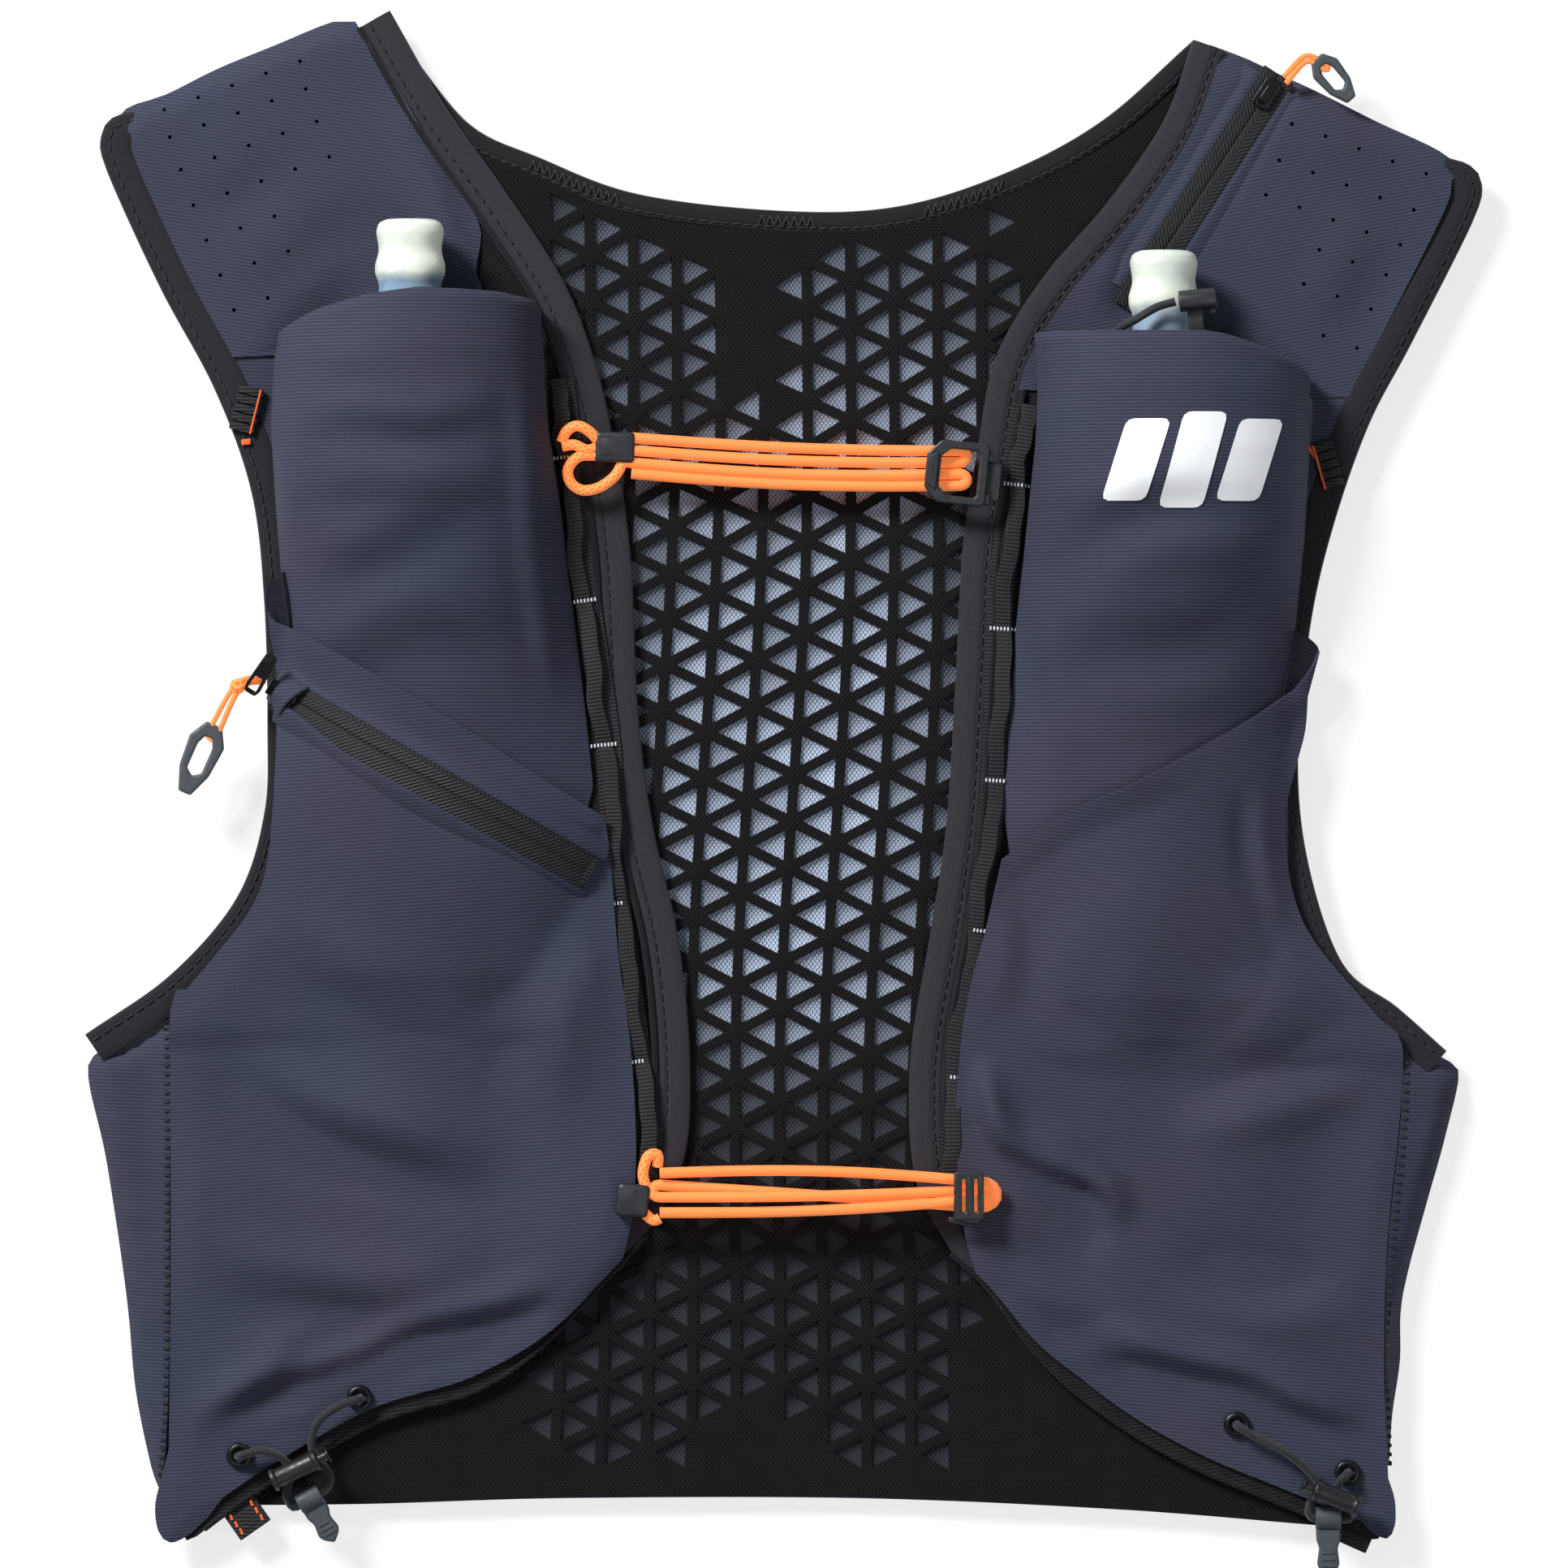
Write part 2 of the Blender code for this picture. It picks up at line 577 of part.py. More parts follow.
def make_chest_zip():
    steps = 14
    points = []
    for index in range(steps + 1):
        for across in (-ZIP_WIDTH / 2, ZIP_WIDTH / 2):
            points.append(zip_place(1 + (ZIP_LENGTH - 2) * index / steps, 0, across))
    faces = [(2 * i, 2 * i + 1, 2 * i + 3, 2 * i + 2) for i in range(steps)]
    tape = mesh_from("chest_zip_tape", points, faces, "webbing")
    if tape.data.polygons[0].normal.z < 0:
        tape.data.flip_normals()
    thicken(tape, TAPE)
    angle = math.asin((ZIP_REST - ZIP_LENGTH / 2) / ZIP_RADIUS)
    along = Vector((*(ZIP_ALONG * math.cos(angle)), -math.sin(angle)))
    up = Vector((*(ZIP_ALONG * math.sin(angle)), math.cos(angle)))
    make_slider("chest_zip_slider", zip_place(ZIP_REST, TAPE + GAP), along, up)
    start = zip_place(ZIP_REST, TAPE + 2.6, -4.4)
    route = smooth((start, (-145.6, 22.6, 16.6), (-149.6, 18.2, 16.2), (-153.6, 14.6, 15.8)), 2.5)
    tube("chest_zip_cord", route, PULL_CORD, "bungee")
    plate("chest_zip_tab", tab_outline(18, 9), TAB_THICKNESS, (-159.6, 6.6, 15.5), 232, "hardware")


def make_shoulder_zip():
    along = SHOULDER_ZIP_ALONG
    top = SHOULDER_ZIP_TOP - along
    side = Vector((-along.y, along.x)) * ZIP_WIDTH / 2
    end = SHOULDER_ZIP_TOP + along * SHOULDER_ZIP_LENGTH
    outline = [top - side, end - side, end + side, top + side]
    flat_piece("shoulder_zip_tape", outline, (TRIM[0], TRIM[0] + TAPE), "webbing")
    place = SHOULDER_ZIP_TOP + along * 5.2
    base = TRIM[0] + TAPE + GAP
    make_slider("shoulder_zip_slider", Vector((*place, base)), Vector((*along, 0)), Vector((0, 0, 1)))
    route = smooth(((137.2, 193.0, base + 2.6), (139.8, 196.6, base + 3), (142.4, 198.8, base + 3),
                    (144.2, 199.6, base + 2.8)), 2.5)
    tube("shoulder_zip_cord", route, PULL_CORD, "bungee")
    tab = (150.4, 193.0, base + 2.4)
    plate("shoulder_zip_tab", tab_outline(15, 8.5), TAB_THICKNESS, tab, -50, "hardware")


# Soft flasks.


def make_flask(side):
    """A soft bottle with its neck up, a screw cap and a bite valve."""
    axis_x, shift = FLASK_AXIS_X[side], FLASK_SHIFT_Y[side]
    sides = 16
    neck_y = FLASK_BODY[0][0]
    rings = []
    for y, half, thickness in FLASK_BODY:
        centre = NECK_HEIGHT if y == neck_y else FLASK_FLOOR + thickness / 2
        angles = [2 * math.pi * index / sides for index in range(sides)]
        rings.append([(axis_x + half * math.cos(a), y + shift, centre + thickness / 2 * math.sin(a))
                      for a in angles])
    loft(f"flask_body_{side}", rings, "flask")
    base = Vector((axis_x, neck_y + GAP + shift, NECK_HEIGHT))
    cap = [(0, 7), (7.5, 7), (9, 6), (11.2, 5), (11.2, 0.5), (10.7, 0), (0, 0)]
    turned(f"flask_cap_{side}", cap, base, (0, 1, 0), "cap", 20)
    valve = [(0, 29), (6.5, 29), (8.6, 27.6), (9.35, 25), (9.1, 20), (9.6, 16), (9.6, 12), (8.6, 8), (7.6, 0),
             (0, 0)]
    turned(f"bite_valve_{side}", valve, base + Vector((0, cap[0][1] + GAP, 0)), (0, 1, 0), "valve", 20)


def make_retention():
    """A hollow hook on a cord that holds the right flask's valve."""
    height = NECK_HEIGHT + 11.4
    tube("retention_cord", smooth(((90.5, 123.4, height), (95, 126, height + 0.6), (101, 129.5, height + 0.8),
                                   (106.2, 131.1, height + 1.1)), 3), HEM_CORD, "cord")
    sleeve = [(1.3, 5), (2.9, 5), (2.9, -5), (1.3, -5), (1.3, 5)]
    turned("retention_hook", sleeve, (112.2, 131.6, height + 1.2), (1, 0.1, 0), "hardware", 12)


# Chest straps.


def bungee_route(left_ends, right_ends, left_x, right_x, height):
    """One bungee laid back and forth: four strands with a turn at each end."""
    route = []
    for index, (left, right) in enumerate(zip(left_ends, right_ends)):
        strand = [Vector((left_x + (right_x - left_x) * t / 9, left + (right - left) * t / 9, height))
                  for t in range(10)]
        route += strand if index % 2 == 0 else strand[::-1]
        if index == len(left_ends) - 1:
            break
        ends, x, out = (right_ends, right_x, 1) if index % 2 == 0 else (left_ends, left_x, -1)
        middle, radius = (ends[index] + ends[index + 1]) / 2, abs(ends[index] - ends[index + 1]) / 2
        for angle in (60, 20, -20, -60):
            a = math.radians(angle)
            route.append(Vector((x + out * radius * math.cos(a), middle + radius * math.sin(a), height)))
    return route


def make_upper_strap():
    height = UPPER_STRAP_HEIGHT
    box("upper_strap_crimp", (-46.6, 91.2, height), (10.4, 8.2, 4.6), -2, "hardware", 1.0)
    route = bungee_route((95.4, 92.1, 88.8, 85.5), (91.6, 88.2, 84.8, 81.4), -36.5, 48.0, height)
    tube("upper_strap_bungee", route, BUNGEE, "bungee")
    frame = [(-8.2, -4.5), (-8.2, 4.5), (-4.6, 8.6), (7.8, 8.6), (8.8, 7.6), (8.8, -7.6), (7.8, -8.6),
             (-4.6, -8.6)]
    slot = [(-5.9, -6.6), (5.6, -6.6), (5.6, 6.6), (-5.9, 6.6)]
    place = (49.2, 86.5, height + HOOK_LIFT)
    plate("upper_strap_hook", [frame, slot], PLATE_THICKNESS, place, -6, "hardware")


def make_lower_strap():
    height = LOWER_STRAP_HEIGHT
    box("lower_strap_crimp", (-41.4, -113.6, height), (9.0, 9.0, 5.0), -6, "hardware", 1.0)
    left_ends, right_ends = (-107.0, -110.3, -113.6, -116.9), (-108.2, -111.4, -114.6, -117.8)
    route = bungee_route(left_ends, right_ends, -33.0, 54.0, height)
    tube("lower_strap_bungee", route, BUNGEE, "bungee")
    frame = [(-4.1, -7.2), (4.1, -7.2), (4.1, 7.2), (-4.1, 7.2)]
    slot = [(-2.3, -5.4), (-2.3, 5.4), (2.3, 5.4), (2.3, -5.4)]
    place = (50.4, -113.0, height + HOOK_LIFT)
    plate("lower_strap_buckle", [frame, slot], PLATE_THICKNESS, place, 0, "hardware")


# Hem cords with their locks.


def make_hem_adjuster(side, eyelets, route, lock_end, button_end, tab_eye, tab_angle):
    """Two eyelets, the cord between them, a spring lock over the cord, and a pull tab in its loop."""
    rim_height = POCKET_BASE + FABRIC + GAP + 0.8
    for place, name in zip(eyelets, ("outer", "inner")):
        ring(f"eyelet_{side}_{name}", (*place, rim_height), EYELET_RADIUS, EYELET_THICKNESS, "metal")
    tube(f"hem_cord_{side}", smooth(route, 4.5), HEM_CORD, "cord")
    lock_end, button_end = Vector(lock_end), Vector(button_end)
    along = (button_end - lock_end).normalized()
    length = (button_end - lock_end).length
    barrel = [(0, 1.2), (1.6, 1.2), (1.6, length - 3.6), (2.7, length - 3.6), (2.7, length - 5),
              (2.4, length - 5.4), (2.4, 1.0), (2.9, 0.8), (2.9, 0), (0, 0)]
    turned(f"cord_lock_barrel_{side}", barrel, lock_end, along, "hardware", 12)
    button = [(0, length), (1.6, length), (2.3, length - 0.7), (1.3, length - 0.8), (1.3, length - 8.6),
              (0, length - 8.6)]
    turned(f"cord_lock_button_{side}", button, lock_end, along, "hardware", 12)
    make_spring(f"cord_lock_spring_{side}", lock_end, along, 1.5, length - 11.6)
    make_pull_tab(f"hem_pull_tab_{side}", tab_eye, tab_angle)


def make_spring(name, base, along, start, end):
    """The spring behind the button, drawn as short as it is with the button pressed."""
    turn = along.to_track_quat("Z", "Y").to_matrix()
    turns, per_turn, radius, wire, clearance = 2, 8, 0.95, 0.5, 0.3
    route = []
    for index in range(turns * per_turn + 1):
        angle = 2 * math.pi * index / per_turn
        height = start + clearance + (end - start - 2 * clearance) * index / (turns * per_turn)
        route.append(base + turn @ Vector((radius * math.cos(angle), radius * math.sin(angle), height)))
    tube(name, route, wire, "spring")


def make_pull_tab(name, eye, angle):
    """A rubber tab with a round eye at its top, whose bore is on the cord."""
    outline = arc_points((0, 0), 3.2, 50, 310, 10)
    outline += [(4.6, -1.5), (9.0, -1.3), (16.5, -0.9), (16.5, 0.9), (9.0, 1.3), (4.6, 1.5)]
    bore = arc_points((0, 0), 1.9, 0, 330, 11)
    obj = flat_piece(name, [outline, bore], (-3.6, 3.6), "hardware")
    turn = Matrix.Rotation(math.radians(angle), 4, "Z") @ Matrix.Rotation(math.radians(90), 4, "X")
    obj.matrix_world = Matrix.Translation(Vector(eye) * MM) @ turn
    return obj


def make_hem_adjusters():
    low, high = 13.6, 14.6
    make_hem_adjuster(
        "left", ((-149.1, -183.7), (-116.2, -167.9)),
        ((-149.1, -183.7, 11.8), (-148.8, -183.6, high), (-142.7, -182.2, high), (-136.9, -184.6, low),
         (-134.6, -188.6, low), (-136.2, -193.4, low), (-134.2, -197.7, low), (-129.8, -195.2, low),
         (-125.4, -192.7, low), (-124.2, -189.2, low), (-126.8, -185.2, low), (-129.2, -181.0, low),
         (-127.6, -174.5, high), (-121.5, -169.8, high), (-116.6, -168.1, high), (-116.2, -167.9, 11.8)),
        (-139.9, -190.2, CORD_LOCK_HEIGHT), (-124.1, -182.8, CORD_LOCK_HEIGHT), (-129.8, -195.2, low), -60)
    make_hem_adjuster(
        "right", ((154.2, -188.3), (123.8, -175.2)),
        ((154.2, -188.3, 11.8), (153.9, -188.5, high), (151.4, -191.2, high), (151.2, -195.0, low),
         (155.6, -198.2, low), (154.4, -200.8, low), (148.8, -200.6, low), (144.2, -200.4, low),
         (143.6, -197.0, low), (146.6, -192.4, low), (143.0, -187.4, low), (136.4, -182.2, high),
         (128.8, -178.4, high), (124.2, -175.5, high), (123.8, -175.2, 11.8)),
        (156.8, -197.3, CORD_LOCK_HEIGHT), (141.4, -191.0, CORD_LOCK_HEIGHT), (148.8, -200.6, low), -90)


def make_front():
    for side, fold, armhole, front, hem in (("left", LEFT_FOLD, LEFT_ARMHOLE, LEFT_FRONT, LEFT_HEM),
                                            ("right", RIGHT_FOLD, RIGHT_ARMHOLE, RIGHT_FRONT, RIGHT_HEM)):
        make_strap_and_panel(side, fold, armhole, front, hem)
        make_bindings(side, armhole, front)
        make_flask_pocket(side)
        make_flask(side)
    make_side_panels()
    make_lower_pockets()
    make_webbing()


make_back()
make_front()
make_chest_zip()
make_shoulder_zip()
make_retention()
make_upper_strap()
make_lower_strap()
make_hem_adjusters()
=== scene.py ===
"""Finished surfaces of the hydration pack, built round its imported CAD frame.

Lengths in this script are millimetres and Blender gets metres. +X runs to the right of someone who looks
down at the front of the vest, +Y runs to the shoulders, and +Z runs up from the table.
"""

import math
import random

import bmesh
import bpy
import numpy as np
from mathutils import Matrix, Vector
from mathutils.geometry import delaunay_2d_cdt


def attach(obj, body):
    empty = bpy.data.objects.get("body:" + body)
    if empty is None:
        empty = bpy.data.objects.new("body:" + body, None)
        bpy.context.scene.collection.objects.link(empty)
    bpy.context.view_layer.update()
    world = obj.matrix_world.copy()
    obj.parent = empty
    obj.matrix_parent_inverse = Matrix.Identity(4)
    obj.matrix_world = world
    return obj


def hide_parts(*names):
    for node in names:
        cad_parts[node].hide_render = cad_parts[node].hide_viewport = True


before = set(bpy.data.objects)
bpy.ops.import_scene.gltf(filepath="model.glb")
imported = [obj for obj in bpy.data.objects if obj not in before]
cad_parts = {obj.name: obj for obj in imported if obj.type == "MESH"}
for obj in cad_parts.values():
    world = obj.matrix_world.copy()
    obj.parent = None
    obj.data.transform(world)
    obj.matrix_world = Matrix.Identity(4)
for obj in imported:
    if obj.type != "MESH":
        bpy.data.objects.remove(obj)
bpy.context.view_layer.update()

MM = 0.001
TAPE_MIDDLE = 12.8
SCENE = bpy.context.scene
random.seed(11)


# Camera, light and table.


CAMERA_HEIGHT = 3.0
SHARP_HEIGHT = 0.01
VIEW_WIDTH = 0.4293
SENSOR = 36.0


def make_camera():
    """A camera high over the table, whose view is VIEW_WIDTH wide at the height of the vest's straps."""
    data = bpy.data.cameras.new("camera")
    data.sensor_width = SENSOR
    data.lens = SENSOR * (CAMERA_HEIGHT - SHARP_HEIGHT) / VIEW_WIDTH
    data.clip_end = 20
    camera = bpy.data.objects.new("camera", data)
    camera.location = (-0.00005, 0.0001, CAMERA_HEIGHT)
    SCENE.collection.objects.link(camera)
    SCENE.camera = camera


def area_light(name, place, size, power, target=(0, 0, 0)):
    data = bpy.data.lights.new(name, "AREA")
    data.size = size
    data.energy = power
    light = bpy.data.objects.new(name, data)
    light.location = place
    light.rotation_euler = (Vector(target) - Vector(place)).to_track_quat("-Z", "Y").to_euler()
    SCENE.collection.objects.link(light)


TABLE_HALF = 6.0
TABLE_LOW = -0.0004


def make_stage():
    """A grey world, two lamps, and a table that glows white as the photograph's background does."""
    world = bpy.data.worlds.new("studio")
    world.use_nodes = True
    world.node_tree.nodes["Background"].inputs["Color"].default_value = (0.96, 0.98, 1.0, 1)
    world.node_tree.nodes["Background"].inputs["Strength"].default_value = 0.25
    SCENE.world = world
    area_light("key_light", (-1.45, 1.6, 1.7), 0.7, 102)
    area_light("fill_light", (1.1, -0.9, 2.4), 1.4, 14)
    data = bpy.data.meshes.new("table")
    corners = [(x * TABLE_HALF, y * TABLE_HALF, TABLE_LOW) for x, y in ((-1, -1), (1, -1), (1, 1), (-1, 1))]
    data.from_pydata(corners, [], [(0, 1, 2, 3)])
    table = bpy.data.objects.new("table", data)
    SCENE.collection.objects.link(table)
    finish = bpy.data.materials.new("table")
    finish.use_nodes = True
    shader = finish.node_tree.nodes["Principled BSDF"]
    shader.inputs["Base Color"].default_value = (0.3, 0.3, 0.3, 1)
    shader.inputs["Roughness"].default_value = 0.9
    shader.inputs["Emission Color"].default_value = (1, 1, 1, 1)
    shader.inputs["Emission Strength"].default_value = 0.72
    data.materials.append(finish)
    SCENE.view_settings.view_transform = "Standard"


make_camera()
make_stage()


# Materials.


class Recipe:
    """A node material under construction."""

    def __init__(self, name, roughness=0.8, metallic=0.0, sheen=0.0, specular=0.5, coat=0.0):
        self.material = bpy.data.materials.new(name)
        self.material.use_nodes = True
        self.tree = self.material.node_tree
        self.shader = self.tree.nodes["Principled BSDF"]
        self.set("Roughness", roughness)
        self.set("Metallic", metallic)
        self.set("Sheen Weight", sheen)
        self.set("Sheen Roughness", 0.45)
        self.set("Specular IOR Level", specular)
        self.set("Coat Weight", coat)
        self.coordinates = self.node("ShaderNodeTexCoord")

    def set(self, name, value):
        self.shader.inputs[name].default_value = value

    def node(self, kind, **settings):
        made = self.tree.nodes.new(kind)
        for key, value in settings.items():
            setattr(made, key, value)
        return made

    def link(self, source, target):
        self.tree.links.new(source, target)

    def feed(self, socket, value):
        if isinstance(value, bpy.types.NodeSocket):
            self.link(value, socket)
        else:
            socket.default_value = value

    def where(self, source="Object", turn=0.0, scale=(1, 1, 1)):
        mapping = self.node("ShaderNodeMapping")
        self.link(self.coordinates.outputs[source], mapping.inputs["Vector"])
        mapping.inputs["Rotation"].default_value = (0, 0, math.radians(turn))
        mapping.inputs["Scale"].default_value = scale
        return mapping.outputs[0]

    def noise(self, scale, detail=2.0, source=None):
        made = self.node("ShaderNodeTexNoise")
        made.inputs["Scale"].default_value = scale
        made.inputs["Detail"].default_value = detail
        self.link(source or self.coordinates.outputs["Object"], made.inputs["Vector"])
        return made.outputs["Fac"]

    def waves(self, pitch_mm, axis, source, distortion=0.0):
        """Ribs across the axis, one each pitch."""
        made = self.node("ShaderNodeTexWave", bands_direction=axis)
        made.inputs["Scale"].default_value = 2 * math.pi / (20 * pitch_mm * MM)
        made.inputs["Distortion"].default_value = distortion
        made.inputs["Detail Scale"].default_value = 0.04
        self.link(source, made.inputs["Vector"])
        return made.outputs["Fac"]

    def maths(self, operation, first, second=0.0):
        made = self.node("ShaderNodeMath", operation=operation)
        self.feed(made.inputs[0], first)
        self.feed(made.inputs[1], second)
        return made.outputs[0]

    def ranged(self, value, low, high, start=0.0, end=1.0):
        made = self.node("ShaderNodeMapRange")
        self.link(value, made.inputs["Value"])
        for name, number in (("From Min", low), ("From Max", high), ("To Min", start), ("To Max", end)):
            made.inputs[name].default_value = number
        return made.outputs[0]

    def mixed(self, share, first, second):
        made = self.node("ShaderNodeMix", data_type="RGBA")
        self.feed(made.inputs["Factor"], share)
        self.feed(made.inputs[6], first)
        self.feed(made.inputs[7], second)
        return made.outputs[2]

    def bump(self, height, strength, distance_mm, below=None):
        made = self.node("ShaderNodeBump")
        made.inputs["Strength"].default_value = strength
        made.inputs["Distance"].default_value = distance_mm * MM
        self.link(height, made.inputs["Height"])
        if below:
            self.link(below, made.inputs["Normal"])
        return made.outputs[0]

    def colour(self, value):
        self.feed(self.shader.inputs["Base Color"], value)

    def normal(self, value):
        self.link(value, self.shader.inputs["Normal"])

    def rough(self, value):
        self.link(value, self.shader.inputs["Roughness"])


def rgb(red, green, blue):
    """A display colour, from 0 to 255, as Blender's linear colour."""
    linear = [((c / 255 + 0.055) / 1.055) ** 2.4 if c > 10 else c / 255 / 12.92 for c in (red, green, blue)]
    return (*linear, 1)


def ribbed_fabric(name, turn=0.0, tone_and_shade=1.0):
    """Stretch shell fabric: fine ribs across, a faint change of hue over the cloth, a little fuzz."""
    recipe = Recipe(name, 0.8, sheen=0.04, specular=0.14)
    ribs = recipe.waves(0.93, "Y", recipe.where(turn=turn), 0.5)
    yarn = recipe.waves(0.55, "X", recipe.where(turn=turn), 0.3)
    cloud = recipe.ranged(recipe.noise(22, 3), 0.3, 0.7)
    fuzz = recipe.noise(2600, 1)
    # The scale on both colours makes the side panels slightly darker and paints shade on the inside of the
    # pocket.
    dark = recipe.mixed(cloud, tuple(c * tone_and_shade for c in rgb(41, 45, 59)[:3]) + (1,),
                        tuple(c * tone_and_shade for c in rgb(46, 43, 57)[:3]) + (1,))
    light = recipe.mixed(cloud, tuple(c * tone_and_shade for c in rgb(62, 69, 88)[:3]) + (1,),
                         tuple(c * tone_and_shade for c in rgb(68, 68, 86)[:3]) + (1,))
    weave = recipe.maths("ADD", recipe.maths("MULTIPLY", ribs, 0.75), recipe.maths("MULTIPLY", yarn, 0.25))
    recipe.colour(recipe.mixed(weave, dark, light))
    recipe.rough(recipe.ranged(fuzz, 0.3, 0.7, 0.7, 0.86))
    recipe.normal(recipe.bump(fuzz, 0.25, 0.08, recipe.bump(weave, 0.45, 0.16)))
    return recipe.material


def net_distance(recipe, turn=0.0, pitch=1.2, row=0.82):
    """Distance to the nearest hole's centre in a net of staggered holes, in holes."""
    scaled = recipe.where(turn=turn, scale=(1000 / pitch, 1000 / (2 * row), 0))
    distances = []
    for shift in (0.0, 0.5):
        moved = recipe.node("ShaderNodeVectorMath", operation="ADD")
        recipe.link(scaled, moved.inputs[0])
        moved.inputs[1].default_value = (shift, shift, 0)
        wrapped = recipe.node("ShaderNodeVectorMath", operation="WRAP")
        recipe.link(moved.outputs[0], wrapped.inputs[0])
        wrapped.inputs[1].default_value = (0.5, 0.5, 0.5)
        wrapped.inputs[2].default_value = (-0.5, -0.5, -0.5)
        flat = recipe.node("ShaderNodeVectorMath", operation="MULTIPLY")
        recipe.link(wrapped.outputs[0], flat.inputs[0])
        flat.inputs[1].default_value = (1.0, 2 * row / pitch, 0)
        length = recipe.node("ShaderNodeVectorMath", operation="LENGTH")
        recipe.link(flat.outputs[0], length.inputs[0])
        distances.append(length.outputs["Value"])
    return recipe.maths("MINIMUM", *distances)


def net_fabric(name, thread, hole_shade, lit=None, turn=0.0, pitch=1.2, row=0.82, size=0.36):
    """Knitted mesh: threads round staggered holes, whose near-black colour is painted shade of what lies
    beneath. Where a lit colour is given, an attribute on the mesh mixes the holes from that painted shade to
    painted light on the liner.
    """
    recipe = Recipe(name, 0.85, sheen=0.05, specular=0.2)
    distance = net_distance(recipe, turn, pitch, row)
    holes = recipe.ranged(distance, size + 0.07, size - 0.07)
    under = hole_shade
    if lit:
        painted_glow = recipe.node("ShaderNodeAttribute", attribute_name="painted_glow")
        under = recipe.mixed(painted_glow.outputs["Fac"], hole_shade, lit)
    patch = recipe.ranged(recipe.noise(160, 2), 0.35, 0.65)
    threads = recipe.mixed(patch, thread, tuple(c * 0.6 for c in thread[:3]) + (1,))
    recipe.colour(recipe.mixed(holes, threads, under))
    recipe.normal(recipe.bump(recipe.ranged(distance, 0.15, 0.5), 0.7, 0.25))
    return recipe.material


def knitted_binding(name, base, light):
    recipe = Recipe(name, 0.85, sheen=0.1, specular=0.15)
    wale = recipe.waves(0.7, "X", recipe.where("UV"), 0.4)
    fuzz = recipe.noise(1800, 2)
    share = recipe.maths("MULTIPLY", recipe.maths("ADD", wale, fuzz), 0.5)
    recipe.colour(recipe.mixed(share, base, light))
    recipe.normal(recipe.bump(fuzz, 0.35, 0.12, recipe.bump(wale, 0.25, 0.1)))
    return recipe.material


def tape(name, base, light, pitch=0.8, cross=0.6, depth=0.25):
    """Woven tape: ribs across its length, with its length along the V of its UV map."""
    recipe = Recipe(name, 0.7, specular=0.3)
    uv = recipe.where("UV")
    ribs = recipe.waves(pitch, "Y", uv)
    warp = recipe.waves(cross, "X", uv)
    both = recipe.maths("MULTIPLY", ribs, recipe.ranged(warp, 0, 1, 0.55, 1.0))
    recipe.colour(recipe.mixed(both, base, light))
    recipe.normal(recipe.bump(both, 0.8, depth))
    return recipe.material


def herringbone(name, base, light):
    """Woven zip tape: slanting ribs that meet along its middle."""
    recipe = Recipe(name, 0.6, specular=0.35)
    split = recipe.node("ShaderNodeSeparateXYZ")
    recipe.link(recipe.where("UV"), split.inputs[0])
    across = recipe.maths("ABSOLUTE", recipe.maths("SUBTRACT", split.outputs[0], TAPE_MIDDLE * MM))
    slanted = recipe.maths("ADD", split.outputs[1], across)
    ribs = recipe.maths("SINE", recipe.maths("MULTIPLY", slanted, 2 * math.pi / (1.3 * MM)))
    rows = recipe.maths("SINE", recipe.maths("MULTIPLY", across, 2 * math.pi / (1.3 * MM)))
    both = recipe.ranged(recipe.maths("ADD", ribs, recipe.maths("MULTIPLY", rows, 0.25)), -1.25, 1.25)
    recipe.colour(recipe.mixed(both, base, light))
    recipe.normal(recipe.bump(both, 0.9, 0.3))
    return recipe.material


def braid(name, dark, light, pitch=1.6, sheen=0.2, painted_glow=0.0):
    """A braided cord's jacket: two sets of strands that cross round it. A painted glow makes it emit a little
    light in its paler colour, though it is no lamp.
    """
    recipe = Recipe(name, 0.55, sheen=sheen, specular=0.3)
    # Painted glow: emission in the paler colour.
    recipe.set("Emission Color", light)
    recipe.set("Emission Strength", painted_glow)
    one = recipe.waves(pitch, "X", recipe.where("UV", 35))
    two = recipe.waves(pitch, "X", recipe.where("UV", -35))
    crossed = recipe.maths("MAXIMUM", one, two)
    recipe.colour(recipe.mixed(recipe.ranged(crossed, 0.35, 1.0), dark, light))
    recipe.normal(recipe.bump(crossed, 0.4, 0.12))
    return recipe.material


def moulded(name, base, wear, roughness=0.42, metallic=0.0, grain=900):
    """Moulded or painted hardware: fine grain, with paler rubbed patches."""
    recipe = Recipe(name, roughness, metallic, specular=0.5)
    fine = recipe.noise(grain, 3)
    rubbed = recipe.ranged(recipe.noise(260, 4), 0.55, 0.75)
    recipe.colour(recipe.mixed(recipe.maths("MULTIPLY", rubbed, 0.6), base, wear))
    recipe.rough(recipe.ranged(fine, 0.3, 0.7, roughness - 0.08, roughness + 0.12))
    recipe.normal(recipe.bump(fine, 0.15, 0.1))
    return recipe.material


def film(name, clear, cloudy, transmission, roughness=0.28):
    """Translucent plastic: part of the light goes through, with cloudy streaks."""
    recipe = Recipe(name, roughness, specular=0.5)
    recipe.set("Transmission Weight", transmission)
    recipe.set("IOR", 1.35)
    recipe.set("Subsurface Weight", 0.25)
    recipe.set("Subsurface Radius", (0.006, 0.007, 0.008))
    streak = recipe.ranged(recipe.noise(45, 3), 0.3, 0.7)
    recipe.colour(recipe.mixed(streak, clear, cloudy))
    recipe.normal(recipe.bump(recipe.noise(130, 3), 0.15, 0.5))
    return recipe.material


